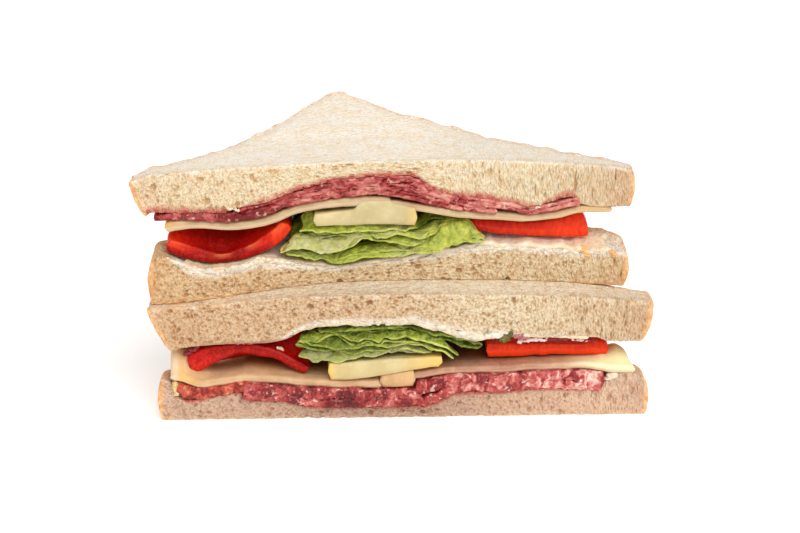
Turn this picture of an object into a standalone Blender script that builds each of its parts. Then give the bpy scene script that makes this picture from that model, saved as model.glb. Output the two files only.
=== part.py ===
"""Salami sandwich: one sandwich of thin crusted bread, cut corner to corner, its two halves stacked.

The cut faces look forward and the lower half is the upper one turned over, so its layers run the
other way up. Sizes are in millimetres. X runs along the cut, Y back from it and Z up. A layer is
drawn as it shows at the cut, (x, z), and run back through the food between the two breads.
"""

import bpy
import numpy as np

for old in list(bpy.data.objects):
    bpy.data.objects.remove(old)

MM = 0.001
GAP = 0.3  # air left between two pieces that touch

# A slice is about 105 x 125 mm with round corners. Cut corner to corner it is a blunt triangle, with
# its square corner at the back.
SLICE_DEPTH = 82.0  # from the cut to the square corner
END_DEPTH = 8.0  # how deep the flat of a blunt end is
END_ROUND = 6.0
LEG_SLANT = 0.7  # how much nearer the crust is than it looks along Y, as it runs at about 45 degrees
BREAD_THICK = 12.6  # where nothing presses on it
BREAD_THIN = 0.8  # how much thinner the upper half's lower slice is all over
BASE_THIN = 2.4  # and the lowest slice
CRUST_DROOP = 2.0  # how far a slice's outer face falls towards its crust
CRUST_ZONE = 9.0
CRUST_BULGE = 1.1
APEX_LIFT = 5.2  # the fillings push the top slice's square corner up
APEX_START = 30.0  # how far back from the cut that lift begins
CORNER_CURL = 4.5  # how far the inside of a slice turns up at the crust beside its sharp corners
CURL_DEPTH = 10.0
CURL_ZONE = 12.0
CURL_FROM, CURL_FULL = 58.0, 70.0  # distances from the middle, along the cut

SALAMI_THICK = 1.2
LEAF_THICK = 0.8

LONGEST_STEP = 7.0  # between two stations of a bread, along the cut
BREAD_ROWS = (0.0, 0.06, 0.16, 0.32, 0.52, 0.72, 0.86, 0.95, 1.0)
FILLING_ROWS = (0.0, 0.2, 0.45, 0.72, 1.0)
LEAF_ROWS = (0.0, 0.3, 0.65, 1.0)
CRUST_SETBACK, SALAMI_SETBACK, LEAF_SETBACK = 5.0, 3.0, 2.0  # how far inside the crust fillings stop
SHALLOWEST = 2.5  # a filling is at least this deep
TO_THE_CRUST = 999.0


def smooth(t):
    t = np.clip(t, 0.0, 1.0)
    return t * t * (3.0 - 2.0 * t)


def mix(a, b, k):
    return a + (b - a) * k


def profile(*points):
    """A smooth line through the points that never overshoots them, level past both ends."""
    xs, zs = np.array(points, float).T
    steps = np.diff(xs)
    rises = np.diff(zs) / steps
    slopes = np.zeros(len(xs))
    for i in range(1, len(xs) - 1):
        before, after = rises[i - 1], rises[i]
        if before * after > 0:
            slopes[i] = 2.0 * before * after / (before + after)

    def height(x):
        x = np.clip(x, xs[0], xs[-1])
        i = np.clip(np.searchsorted(xs, x) - 1, 0, len(steps) - 1)
        t = (x - xs[i]) / steps[i]
        return (
            zs[i] * (1 + 2 * t) * (1 - t) ** 2
            + zs[i + 1] * t**2 * (3 - 2 * t)
            + steps[i] * slopes[i] * t * (1 - t) ** 2
            - steps[i] * slopes[i + 1] * t**2 * (1 - t)
        )

    height.knots = xs
    return height


# How far back the upper half's bread goes from the cut, by x: its two crusts curve in a little.
PLAN = profile(
    (-84, 14.2), (-79, 14.8), (-70, 18.0), (-59, 27.0), (-37, 52.5), (-27, 70.0), (-17.3, SLICE_DEPTH),
    (-8.6, 74.0), (1.5, 61.0), (17, 47.5), (35, 32.0), (48, 25.0), (58, 18.8), (68, 15.6), (79, 14.2),
)
MIRRORED = -0.8  # what x in the upper half's plan and x in its mirror image, the lower half's, add up to


class Half:
    """One triangular half of the sandwich: the line of its cut, y(x), and its plan."""

    def __init__(self, name, cut, turned_over):
        self.name = name
        self.cut = cut
        self.turned_over = turned_over

    def reach(self, x):
        """How far back from the cut the bread goes at x."""
        return PLAN(MIRRORED - x) if self.turned_over else PLAN(x)

    def share(self, x, depth):
        """How far back from the cut this depth is, from 0 there to 1 at the crust."""
        return np.clip(depth / self.reach(x), 0.0, 1.0)

    def edge(self, x, depth, zone):
        """1 at the crust, falling to 0 at zone mm inside it."""
        inside = (self.reach(x) - depth) * LEG_SLANT
        return np.clip(1.0 - inside / zone, 0.0, 1.0)

    def corner_edge(self, x, depth):
        """1 at the crust beside the sharp corners, falling to 0 at the cut and towards the middle."""
        outer = smooth((np.abs(x) - CURL_FROM) / (CURL_FULL - CURL_FROM))
        return self.edge(x, depth, CURL_ZONE) * outer * np.clip(depth / CURL_DEPTH, 0.0, 1.0)


# The seam that the halves meet at.
SEAM = profile(
    (-78, 38.0), (-66, 38.3), (-48, 39.8), (-30, 41.1), (0, 41.6), (30, 41.2), (52, 40.5), (66, 39.6),
    (78, 38.8),
)

# The upper half. Its cut bows in a little, and its lower slice stands back from the cut in the middle.
upper = Half("upper", profile((-84, -6.0), (-45, -1.5), (0, 2.5), (40, 3.5), (78, 3.5)), False)
UPPER_BASE_SETBACK = profile((-84, -1.5), (-45, -0.5), (-20, 2.0), (40, 1.5), (78, 0.5))
TOP_OUTSIDE = profile(
    (-83, 78.2), (-76, 80.4), (-60, 81.1), (-20, 81.7), (21, 82.0), (40, 81.3), (56, 80.2), (72, 78.8),
    (77, 77.6),
)
TOP_INSIDE = profile(
    (-79, 66.5), (-75.5, 68.0), (-67, 67.5), (-54, 66.8), (-48.4, 68.3), (-41.5, 69.4), (-35.8, 71.8),
    (-29.5, 74.5), (-15.3, 76.6), (2, 77.4), (6.5, 77.0), (11.6, 73.0), (19.6, 69.8), (27.6, 69.1),
    (43.6, 66.1), (57, 69.3), (65.4, 65.9),
)
UPPER_BASE_INSIDE = profile(
    (-77, 52.5), (-73.5, 54.5), (-69, 52.0), (-64.5, 49.7), (-57, 48.0), (-50, 48.7), (-42, 50.6),
    (-33, 49.0), (-19, 46.6), (-5, 47.6), (6, 47.8), (15, 48.8), (23, 51.2), (33, 52.0), (47, 51.5),
    (60, 50.4), (76, 50.4),
)
UPPER_CHEESE_BOTTOM = profile(
    (-71.5, 62.3), (-61, 61.9), (-51.7, 60.6), (-42, 61.4), (-29.6, 65.5), (-20, 66.9), (-1, 66.9),
    (8.5, 65.2), (24.5, 62.6), (43.7, 61.1), (53.3, 62.2), (60.6, 63.8), (70, 63.8),
)

# The lower half, turned over: its square corner lies to the right of the middle.
lower = Half("lower", profile((-80, -10.0), (84, -10.0)), True)
LOWER_TOP_INSIDE = profile(
    (-76, 24.3), (-71, 23.6), (-66.6, 24.6), (-51, 26.3), (-41.5, 26.6), (-35.2, 27.8), (-30.4, 30.1),
    (-21.2, 32.4), (0, 32.2), (6, 32.8), (9.6, 31.6), (16, 29.8), (21, 28.4), (27, 27.0), (33.5, 27.6),
    (50, 27.0), (64.5, 26.4), (68.4, 25.2), (80, 24.9),
)
BASE_INSIDE = profile(
    (-76, 14.5), (-72, 13.3), (-69.7, 7.7), (-65.6, 6.6), (-60.8, 7.5), (-52.7, 9.6), (-49.5, 9.2),
    (-47.4, 6.9), (-36.8, 6.5), (-30.4, 5.2), (-21.5, 4.2), (8, 4.2), (14.5, 5.8), (19.3, 8.3),
    (33.8, 8.6), (46.7, 9.5), (59.6, 9.3), (66, 8.4), (68.5, 10.4), (74, 12.2), (82, 11.8),
)
LOWER_CHEESE_TOP = profile(
    (-70, 15.2), (-62.3, 13.1), (-57.5, 14.0), (-47.9, 15.2), (-36.7, 14.4), (-21.4, 13.0), (-5, 13.0),
    (6.9, 15.6), (20.2, 17.2), (33.1, 17.2), (45.6, 17.9), (60, 18.2), (71, 17.2), (77.2, 17.0),
)


# The faces of the breads, by x and the depth behind the cut. The fillings press them in at the cut,
# less and less towards the crust.
def top_outside(x, depth):
    lift = APEX_LIFT * np.maximum(depth - APEX_START, 0.0) / (SLICE_DEPTH - APEX_START)
    return TOP_OUTSIDE(x) + lift - CRUST_DROOP * upper.edge(x, depth, CRUST_ZONE) ** 2


def top_inside(x, depth):
    crust = TOP_OUTSIDE(x) + APEX_LIFT * depth / SLICE_DEPTH - BREAD_THICK
    return mix(TOP_INSIDE(x), crust, upper.share(x, depth))


def upper_base_inside(x, depth):
    crust = SEAM(x) + BREAD_THICK - BREAD_THIN
    return mix(UPPER_BASE_INSIDE(x), crust, upper.share(x, depth)) + CORNER_CURL * upper.corner_edge(x, depth)


def upper_base_outside(x, depth):
    return SEAM(x) + GAP / 2 + 1.5 * upper.edge(x, depth, CRUST_ZONE / 2) ** 2


def lower_top_outside(x, depth):
    return SEAM(x) - GAP / 2 - CRUST_DROOP / 2 * lower.edge(x, depth, CRUST_ZONE) ** 2


def lower_top_inside(x, depth):
    return mix(LOWER_TOP_INSIDE(x), SEAM(x) - BREAD_THICK, lower.share(x, depth))


def base_inside(x, depth):
    crust = BREAD_THICK - BASE_THIN
    return mix(BASE_INSIDE(x), crust, lower.share(x, depth)) + CORNER_CURL / 2 * lower.corner_edge(x, depth)


def base_outside(x, depth):
    return 1.6 * lower.edge(x, depth, CRUST_ZONE / 2) ** 2


def settle_upper(x, z, depth):
    """The height at this depth of what shows at height z in the cut, in the upper half.

    The salami and cheese keep their thickness under the top slice. What is below them is squeezed.
    """
    shift = top_inside(x, depth) - top_inside(x, 0.0)
    cheese, floor = UPPER_CHEESE_BOTTOM(x), upper_base_inside(x, 0.0)
    share = (z - floor) / (cheese - floor)
    squeezed = mix(upper_base_inside(x, depth), cheese + shift, share)
    return np.where(z >= cheese, z + shift, squeezed)


def settle_lower(x, z, depth):
    """The same in the lower half, where the salami and cheese lie on the lowest slice."""
    shift = base_inside(x, depth) - base_inside(x, 0.0)
    cheese, roof = LOWER_CHEESE_TOP(x), lower_top_inside(x, 0.0)
    share = (z - cheese) / (roof - cheese)
    squeezed = mix(cheese + shift, lower_top_inside(x, depth), share)
    return np.where(z <= cheese, z + shift, squeezed)


upper.settle, lower.settle = settle_upper, settle_lower


def material(name, color, roughness, subsurface=0.0):
    made = bpy.data.materials.new(name)
    made.use_nodes = True
    shader = made.node_tree.nodes["Principled BSDF"]
    shader.inputs["Base Color"].default_value = (*color, 1.0)
    shader.inputs["Roughness"].default_value = roughness
    shader.inputs["Subsurface Weight"].default_value = subsurface
    return made


BREAD = material("bread", (0.80, 0.62, 0.40), 0.9)
SALAMI = material("salami", (0.46, 0.09, 0.10), 0.45, 0.1)
CHEESE = material("cheese", (0.83, 0.68, 0.36), 0.4, 0.2)
PEPPER = material("red_pepper", (0.66, 0.03, 0.01), 0.25, 0.1)
LETTUCE = material("lettuce", (0.38, 0.58, 0.09), 0.45, 0.1)
MAYO = material("mayonnaise", (0.88, 0.82, 0.70), 0.35, 0.2)

collection = bpy.data.collections.new("salami_sandwich")


def rim(across, deep):
    """The grid's outer points in order, as (station, row): along the front, back up the other sides."""
    front = [(i, 0) for i in range(across - 1)]
    right = [(across - 1, j) for j in range(deep - 1)]
    back = [(i, deep - 1) for i in range(across - 1, 0, -1)]
    left = [(0, j) for j in range(deep - 1, 0, -1)]
    return front + right + back + left


def solid(name, top, bottom, finish, bulge=0.0, wall_rows=0):
    """A closed solid between two grids of points, (station, row, xyz), with walls round their rims.

    Both faces are split into triangles alike. The walls bulge outwards, except at the cut.
    """
    across, deep, _ = top.shape
    count = across * deep
    points = [*top.reshape(-1, 3), *bottom.reshape(-1, 3)]
    faces = []
    for i in range(across - 1):
        for j in range(deep - 1):
            a, b = i * deep + j, (i + 1) * deep + j
            c, d = b + 1, a + 1
            faces += [(a, b, c), (a, c, d)]
            faces += [(count + a, count + c, count + b), (count + a, count + d, count + c)]

    ring = rim(across, deep)
    plan = np.array([(top[i, j, :2] + bottom[i, j, :2]) / 2 for i, j in ring])
    along = np.roll(plan, -1, axis=0) - np.roll(plan, 1, axis=0)
    outward = np.stack([along[:, 1], -along[:, 0]], axis=1)
    outward /= np.linalg.norm(outward, axis=1)[:, None]
    rows = [[i * deep + j for i, j in ring]]
    for row in range(1, wall_rows + 1):
        share = row / (wall_rows + 1)
        rows.append(list(range(len(points), len(points) + len(ring))))
        for (i, j), way in zip(ring, outward):
            out = 0.0 if j == 0 else bulge * np.sin(np.pi * share)
            points.append(mix(top[i, j], bottom[i, j], share) + (*(way * out), 0.0))
    rows.append([count + i * deep + j for i, j in ring])
    for high, low in zip(rows, rows[1:]):
        for k in range(len(ring)):
            n = (k + 1) % len(ring)
            faces += [(high[k], low[k], low[n]), (high[k], low[n], high[n])]

    mesh = bpy.data.meshes.new(name)
    mesh.from_pydata([tuple(point * MM) for point in points], [], faces)
    mesh.shade_smooth()
    mesh.set_sharp_from_angle(angle=0.8)
    mesh.materials.append(finish)
    collection.objects.link(bpy.data.objects.new(name, mesh))


def stations_at(knots, start, end):
    """Stations at the knots between the two ends, and evenly between those that are far apart."""
    stops = [start, *[x for x in knots if start + 1.0 < x < end - 1.0], end]
    made = [start]
    for before, after in zip(stops, stops[1:]):
        steps = int(np.ceil((after - before) / LONGEST_STEP))
        made += [before + (after - before) * (k + 1) / steps for k in range(steps)]
    return np.array(made)


def bread(name, half, knots, inner, outer, opens_down, setback=None):
    """A slice, lofted along the cut between its inner and outer faces.

    Each face is given as (left end, right end, height), and knots are the inner one's stations.
    """
    left, right, _ = inner
    u = (stations_at(knots, left, right) - left)[:, None] / (right - left)
    share = np.array(BREAD_ROWS)[None, :]

    def grid(left, right, height):
        x = mix(left, right, u) + 0 * share
        from_end = np.clip(np.minimum(x - left, right - x) / END_ROUND, 0.0, 1.0)
        blunt = END_DEPTH + END_ROUND * np.sqrt(1.0 - (1.0 - from_end) ** 2)
        depth = share * np.where(from_end < 1.0, np.minimum(half.reach(x), blunt), half.reach(x))
        y = half.cut(x) + depth
        if setback:
            y = y + setback(x) * (1 - share)
        return np.stack([x, y, height(x, depth)], axis=2)

    top, bottom = (outer, inner) if opens_down else (inner, outer)
    solid(name, grid(*top), grid(*bottom), BREAD, CRUST_BULGE, wall_rows=2)


def breads():
    bread(
        "bread_top", upper, TOP_INSIDE.knots,
        inner=(-78.0, 76.0, top_inside), outer=(-82.3, 76.6, top_outside), opens_down=True,
    )
    bread(
        "bread_upper_base", upper, UPPER_BASE_INSIDE.knots,
        inner=(-76.4, 75.4, upper_base_inside), outer=(-77.2, 74.6, upper_base_outside), opens_down=False,
        setback=UPPER_BASE_SETBACK,
    )
    bread(
        "bread_lower_top", lower, LOWER_TOP_INSIDE.knots,
        inner=(-71.5, 79.4, lower_top_inside), outer=(-78.2, 82.2, lower_top_outside), opens_down=True,
    )
    bread(
        "bread_base", lower, BASE_INSIDE.knots,
        inner=(-74.6, 80.6, base_inside), outer=(-74.8, 81.0, base_outside), opens_down=False,
    )


def filling(
    name, half, top, bottom, finish, front=0.0, inset=CRUST_SETBACK, most=TO_THE_CRUST,
    rows=FILLING_ROWS, lift=None,
):
    """A piece drawn at its front as two lines of (x, z), run back to inset mm inside the crust.

    front is how far it stands proud of the cut, or behind it if negative. most is the depth that it
    ends at, which may go by x. lift raises or lowers both faces by (station share, row share).
    """
    share = np.array(rows)[None, :]
    station = np.linspace(0.0, 1.0, len(top))[:, None]
    middle = (top[:, :1] + bottom[:, :1]) / 2
    own_depth = most(middle) if callable(most) else most
    back = np.clip(half.reach(middle) - inset, SHALLOWEST, own_depth)

    def face(line):
        x, z = line[:, :1] + 0 * share, line[:, 1:] + 0 * share
        depth = mix(-front, back, share)
        if lift:
            z = z + lift(station, share)
        z = z + half.settle(x, z, np.maximum(depth, 0.0)) - half.settle(x, z, max(-front, 0.0))
        return np.stack([x, half.cut(x) + depth, z], axis=2)

    solid(name, face(top), face(bottom), finish)


def line_through(points, stations):
    """Evenly spaced points on a smooth line through the given ones, which run left to right."""
    xs = np.linspace(points[0][0], points[-1][0], stations)
    return np.stack([xs, profile(*points)(xs)], axis=1)


def line_along(points):
    """The points with one more between each two, rounded off, for a line that may turn back."""
    points = np.array(points, float)
    slopes = np.gradient(points, axis=0)
    between = (points[:-1] + points[1:]) / 2 + (slopes[:-1] - slopes[1:]) / 8
    made = np.empty((2 * len(points) - 1, 2))
    made[0::2], made[1::2] = points, between
    return made


def both_sides(middle, thick):
    """The two lines half a thickness to each side of the middle one."""
    along = np.gradient(middle, axis=0)
    across = np.stack([-along[:, 1], along[:, 0]], axis=1)
    across /= np.linalg.norm(across, axis=1)[:, None]
    half_thick = np.broadcast_to(thick, len(middle))[:, None] / 2
    return middle + across * half_thick, middle - across * half_thick


def salami(half, number, *points, thick=SALAMI_THICK, front=0.6, stations=11):
    top, bottom = both_sides(line_through(points, stations), thick)
    filling(f"salami_{half.name}_{number}", half, top, bottom, SALAMI, front, SALAMI_SETBACK)


def salami_slices():
    """Thin slices that overlap and fold over one another, higher in the middle of the upper half."""
    salami(
        upper, 1, (-75.4, 66.2), (-67, 66.4), (-60, 65.9), (-53, 64.9), (-47, 65.2), (-41, 66.5),
        (-33, 68.9), (-25, 70.7), (-8, 72.2),
    )
    salami(
        upper, 2, (-50.5, 66.5), (-46, 67.4), (-41, 68.2), (-35, 70.2), (-28, 71.9), (-18, 73.2),
        (-6, 73.7), (4, 73.2), (9, 71.4), (13.5, 69.5),
    )
    salami(
        upper, 3, (-28.8, 73.5), (-22, 74.7), (-12, 75.5), (2, 75.9), (6.5, 75.1), (10.5, 72.5),
        (15, 70.4), (21, 68.6),
    )
    salami(upper, 4, (-5, 72.0), (3, 71.0), (9, 69.5), (15, 67.8), (21, 66.6), (33, 65.6))
    salami(upper, 5, (23, 68.1), (30, 67.5), (36.5, 66.4), (43.6, 65.0), (50, 65.9), (58.4, 67.9))

    salami(
        lower, 1, (-68.6, 9.8), (-65.5, 8.9), (-61, 9.2), (-56, 10.1), (-50.0, 10.9),
        thick=np.linspace(2.6, 1.2, 7), stations=7,
    )
    salami(
        lower, 2, (-47.2, 8.2), (-36.8, 7.6), (-30.4, 6.5), (-21.5, 5.6), (-14.5, 5.3),
        thick=1.5, front=1.2,
    )
    salami(
        lower, 3, (-46.5, 10.7), (-36, 10.0), (-28, 9.3), (-20, 8.4), (0, 8.1), (6.5, 8.4),
        thick=2.2, front=1.2,
    )
    salami(
        lower, 4, (-12.5, 5.4), (4, 5.4), (9, 5.9), (14, 7.3), (19, 9.6), (22.5, 10.0),
        thick=1.5, front=1.2,
    )
    salami(
        lower, 5, (8.3, 10.4), (14, 11.5), (20, 12.7), (33, 12.7), (45, 13.3), (50, 13.9),
        (58, 13.7), (67.3, 12.6), thick=2.4, front=0.8,
    )
    salami(
        lower, 6, (24.5, 10.1), (34, 10.0), (46.7, 10.9), (59.6, 10.7), (66.3, 9.9),
        thick=1.4, front=0.8,
    )


def slab(name, half, top, bottom, stations, finish=CHEESE, **options):
    """A piece with a top and a bottom line of their own."""
    filling(name, half, line_through(top, stations), line_through(bottom, stations), finish, **options)


def cheese_slices():
    slab(
        "cheese_upper_left", upper,
        top=(
            (-72.3, 65.3), (-61, 64.9), (-51.7, 63.7), (-42, 64.7), (-29.6, 68.7), (-20, 70.0),
            (-10.6, 70.6), (-1.2, 70.4),
        ),
        bottom=(
            (-71.5, 62.4), (-61, 62.0), (-51.7, 60.7), (-42, 61.5), (-29.6, 65.6), (-20, 67.0),
            (-10.6, 67.2), (-1.2, 67.0),
        ),
        stations=13,
    )
    slab(
        "cheese_upper_right", upper,
        top=(
            (-0.6, 69.0), (8.5, 67.6), (21.2, 65.4), (34, 64.4), (43.7, 63.6), (53, 64.8), (60, 65.6),
            (70, 65.4),
        ),
        bottom=(
            (-0.6, 66.9), (8.5, 65.3), (24.5, 62.7), (34, 62.0), (43.7, 61.2), (53.3, 62.3),
            (60.6, 63.9), (70, 63.9),
        ),
        stations=13,
    )
    slab(
        "cheese_lower_left", lower,
        top=(
            (-70, 15.1), (-62.3, 13.0), (-57.5, 13.9), (-47.9, 15.1), (-36.7, 14.3), (-21.4, 12.9),
            (-5.3, 12.7),
        ),
        bottom=(
            (-69.5, 12.6), (-62.3, 10.6), (-57.5, 11.3), (-47.9, 12.4), (-36.7, 11.7), (-21.4, 10.2),
            (-5.3, 9.9),
        ),
        stations=13, most=profile((-70, 5.0), (-64, 14.0), (-55, 99.0)),
    )
    slab(
        "cheese_lower_right", lower,
        top=(
            (6.9, 15.5), (20.2, 17.1), (33.1, 17.1), (45.6, 17.8), (60, 18.1), (71, 17.1), (77.2, 16.9),
        ),
        bottom=(
            (6.9, 13.0), (20.2, 14.7), (33.1, 14.6), (45.6, 15.4), (60, 15.7), (71, 14.5), (77.2, 14.4),
        ),
        stations=13, inset=3.0, most=profile((60, 99.0), (67, 15.0), (77.2, 3.0)),
    )


def cheese_sticks():
    """Thicker pieces of cheese that lie in the middle of each half."""
    slab(
        "cheese_upper_stick", upper,
        top=((-25.6, 65.4), (-18, 65.9), (-10, 66.4), (-1.5, 66.2), (7.5, 64.6)),
        bottom=((-25.2, 61.5), (-10, 61.3), (7.5, 60.8)),
        stations=6, front=1.0, most=46.0,
    )
    slab(
        "cheese_lower_stick_1", lower,
        top=((-21.5, 19.0), (-4, 20.0), (3, 20.4), (15.6, 20.9)),
        bottom=((-21.0, 13.4), (-15.3, 13.4), (-4.7, 14.5), (6.4, 16.6), (14.6, 17.5)),
        stations=6, front=1.0, most=46.0,
    )
    slab(
        "cheese_lower_stick_2", lower,
        top=((-4.8, 13.9), (6.3, 14.2)),
        bottom=((-4.6, 10.5), (6.2, 10.5)),
        stations=3, front=0.6, most=40.0,
    )


def peppers():
    """Two strips curved like a trough, a valley above and an arch below, and two nearly flat ones."""
    as_pepper = dict(finish=PEPPER, inset=7.0)
    filling(
        "pepper_upper_left", upper,
        line_along((
            (-71.5, 58.6), (-66.7, 57.0), (-61.7, 55.0), (-54.4, 52.6), (-49.2, 54.3), (-44.4, 56.0),
            (-39.6, 59.0), (-35.2, 62.6),
        )),
        line_along((
            (-72.1, 55.0), (-68.7, 53.0), (-64.7, 51.6), (-56.9, 49.8), (-50.2, 50.3), (-42.7, 52.2),
            (-36.2, 55.6), (-32.0, 60.6),
        )),
        front=-2.0, **as_pepper,
    )
    filling(
        "pepper_lower_left", lower,
        line_along((
            (-66.6, 19.4), (-63.8, 22.1), (-57.4, 23.9), (-49.4, 24.3), (-42.4, 23.8), (-38.3, 22.4),
            (-30.4, 18.3), (-27.0, 15.9),
        )),
        line_along((
            (-64.6, 14.8), (-60.8, 16.0), (-55.9, 19.0), (-49.5, 21.3), (-43.7, 20.3), (-38.6, 19.4),
            (-33.6, 16.6), (-29.0, 14.1),
        )),
        front=-3.0, **as_pepper,
    )
    slab(
        "pepper_upper_right", upper,
        top=((24.8, 60.8), (34.3, 60.0), (44, 59.5), (53.4, 60.3), (62.9, 60.5)),
        bottom=((25.1, 57.0), (34.3, 55.7), (49, 54.7), (63.4, 54.0)),
        stations=9, front=-5.0, **as_pepper,
    )
    slab(
        "pepper_lower_right", lower,
        top=((29.5, 22.8), (40.3, 22.7), (60.5, 22.6), (69.2, 22.2)),
        bottom=((29.8, 18.2), (40.3, 18.4), (53.2, 18.9), (68.9, 18.6)),
        stations=9, front=-5.0, lift=lambda station, share: 1.5 * smooth(share * 3), **as_pepper,
    )


def leaf(half, number, *points, ripple, waves, phase):
    """A thin lettuce leaf whose edge ripples at the cut. The ripple turns as it runs back."""
    top, bottom = both_sides(line_through(points, 17), LEAF_THICK)
    filling(
        f"lettuce_{half.name}_{number}", half, top, bottom, LETTUCE, 0.4, LEAF_SETBACK, rows=LEAF_ROWS,
        lift=lambda station, share: ripple * np.sin(2 * np.pi * (waves * station + phase + 0.8 * share)),
    )


def lettuce():
    leaf(
        upper, 1, (-30.3, 59.6), (-24, 59.0), (-14, 59.6), (-4, 59.7), (8, 59.2), (15, 61.2),
        (23.6, 60.6), ripple=0.3, waves=3.0, phase=0.1,
    )
    leaf(
        upper, 2, (-34, 55.4), (-26, 56.6), (-14, 57.2), (-4, 57.5), (5, 56.9), (14, 58.0),
        (22.5, 58.0), ripple=0.4, waves=4.0, phase=0.4,
    )
    leaf(
        upper, 3, (-36.5, 53.2), (-30, 54.0), (-24, 52.4), (-17, 53.2), (-8, 54.4), (0, 54.6),
        (8, 54.2), (17, 55.3), (24, 56.2), ripple=0.4, waves=5.0, phase=0.0,
    )
    leaf(
        upper, 4, (-34, 51.4), (-27, 50.4), (-18.7, 49.0), (-10, 50.0), (-2, 50.7), (8, 51.1),
        (18, 52.7), (30.5, 55.3), ripple=0.3, waves=4.0, phase=0.7,
    )

    leaf(
        lower, 1, (-24, 29.7), (-12, 30.3), (0, 30.1), (6, 29.8), (12, 28.0), (17, 26.6), (22, 25.3),
        (27.5, 24.0), ripple=0.2, waves=4.0, phase=0.2,
    )
    leaf(
        lower, 2, (-31, 27.4), (-24, 27.6), (-17, 28.3), (-8, 28.0), (1, 27.7), (9, 26.8),
        (16, 24.2), (19.5, 22.3), ripple=0.3, waves=4.0, phase=0.5,
    )
    leaf(
        lower, 3, (-30.6, 24.8), (-24, 25.3), (-17, 24.6), (-8, 25.4), (0, 25.1), (8, 24.4),
        (13, 23.0), ripple=0.4, waves=4.0, phase=0.1,
    )
    leaf(
        lower, 4, (-30.8, 22.2), (-26, 20.8), (-20, 20.9), (-10, 21.8), (0, 22.4), (9, 22.6),
        ripple=0.3, waves=3.0, phase=0.8,
    )


def spread(half, start, end, bread_face, side, thick):
    """Mayonnaise on a face of bread: side is 1 for its upper face and -1 for its lower one."""
    xs = np.linspace(start, end, 23)
    near = bread_face(xs, 0.0) + side * GAP
    far = near + side * thick(xs)
    top, bottom = (far, near) if side > 0 else (near, far)
    filling(f"mayonnaise_{half.name}", half, np.stack([xs, top], 1), np.stack([xs, bottom], 1), MAYO)


def mayonnaise():
    """A thin spread under the leaves in the upper half, and over them in the lower half."""
    spread(
        upper, -67.5, 71.5, upper_base_inside, 1,
        thick=profile((-67.5, 0.7), (-57, 0.9), (-30, 0.9), (20, 1.0), (36, 1.8), (55, 2.0), (72.5, 1.2)),
    )
    spread(
        lower, -33.0, 61.0, lower_top_inside, -1,
        thick=profile((-33, 0.6), (-20, 0.9), (2, 0.9), (16, 1.6), (27, 1.6), (34, 0.9), (61, 0.6)),
    )


def stand_on_origin():
    """Puts the middle of the underside of the sandwich's box at the origin, by way of an empty."""
    root = bpy.data.objects.new("salami_sandwich", None)
    corners = []
    for piece in collection.objects:
        piece.parent = root
        corners += [vertex.co for vertex in piece.data.vertices]
    low, high = np.min(corners, axis=0), np.max(corners, axis=0)
    root.location = (-(low[0] + high[0]) / 2, -(low[1] + high[1]) / 2, -low[2])
    collection.objects.link(root)


def main():
    bpy.context.scene.collection.children.link(collection)
    breads()
    salami_slices()
    cheese_slices()
    cheese_sticks()
    peppers()
    lettuce()
    mayonnaise()
    stand_on_origin()
    bpy.context.view_layer.update()


main()
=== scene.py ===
"""Dresses the salami sandwich: crumb and crust, ragged salami, cheese, glossy pepper, frilled lettuce.

Sizes are in millimetres in the frame that the part was drawn in: X along the cut, Y back from it, Z
up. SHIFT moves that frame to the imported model's. Every piece follows the solid that it stands for.
"""

import bpy
import numpy as np
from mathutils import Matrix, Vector


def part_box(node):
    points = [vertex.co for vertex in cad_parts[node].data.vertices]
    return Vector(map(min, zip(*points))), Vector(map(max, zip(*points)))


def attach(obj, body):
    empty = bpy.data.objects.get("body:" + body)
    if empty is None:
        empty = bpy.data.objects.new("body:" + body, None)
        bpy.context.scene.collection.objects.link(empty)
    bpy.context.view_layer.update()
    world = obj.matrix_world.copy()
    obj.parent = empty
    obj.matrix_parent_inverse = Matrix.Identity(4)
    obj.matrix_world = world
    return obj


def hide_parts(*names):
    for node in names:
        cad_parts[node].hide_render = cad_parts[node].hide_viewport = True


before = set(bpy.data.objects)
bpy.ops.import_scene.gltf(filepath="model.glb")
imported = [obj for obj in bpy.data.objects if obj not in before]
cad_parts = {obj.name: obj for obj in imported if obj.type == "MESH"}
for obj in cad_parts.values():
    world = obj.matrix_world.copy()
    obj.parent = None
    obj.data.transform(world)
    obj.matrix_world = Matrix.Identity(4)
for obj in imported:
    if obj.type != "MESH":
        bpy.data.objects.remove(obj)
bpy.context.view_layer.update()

MM = 0.001
DRAWN_LEFT, DRAWN_FRONT = -82.3, -10.0  # where bread_top and bread_base start in the drawn frame
SHIFT = np.array(
    [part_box("bread_top")[0].x / MM - DRAWN_LEFT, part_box("bread_base")[0].y / MM - DRAWN_FRONT, 0.0]
)

# ------------------------------ the part's own lines, as drawn there
GAP = 0.3
TOUCHING = 0.03  # where the halves meet, half of the part's gap is more than the crumb shows
SLICE_DEPTH = 82.0
END_DEPTH, END_ROUND = 8.0, 6.0
LEG_SLANT = 0.7
BREAD_THICK, BREAD_THIN, BASE_THIN = 12.6, 0.8, 2.4
UPPER_BASE_ROUND, BASE_ROUND = 1.5, 1.6
CRUST_DROOP, CRUST_ZONE, CRUST_BULGE = 2.0, 9.0, 1.1
APEX_LIFT, APEX_START = 5.2, 30.0
CORNER_CURL, CURL_DEPTH, CURL_ZONE = 4.5, 10.0, 12.0
CURL_FROM, CURL_FULL = 58.0, 70.0
SALAMI_THICK, LEAF_THICK = 1.2, 0.8
CRUST_SETBACK, SALAMI_SETBACK, LEAF_SETBACK = 5.0, 3.0, 2.0
SHALLOWEST = 2.5
TO_THE_CRUST = 999.0


def smooth(t):
    t = np.clip(t, 0.0, 1.0)
    return t * t * (3.0 - 2.0 * t)


def mix(a, b, k):
    return a + (b - a) * k


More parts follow.
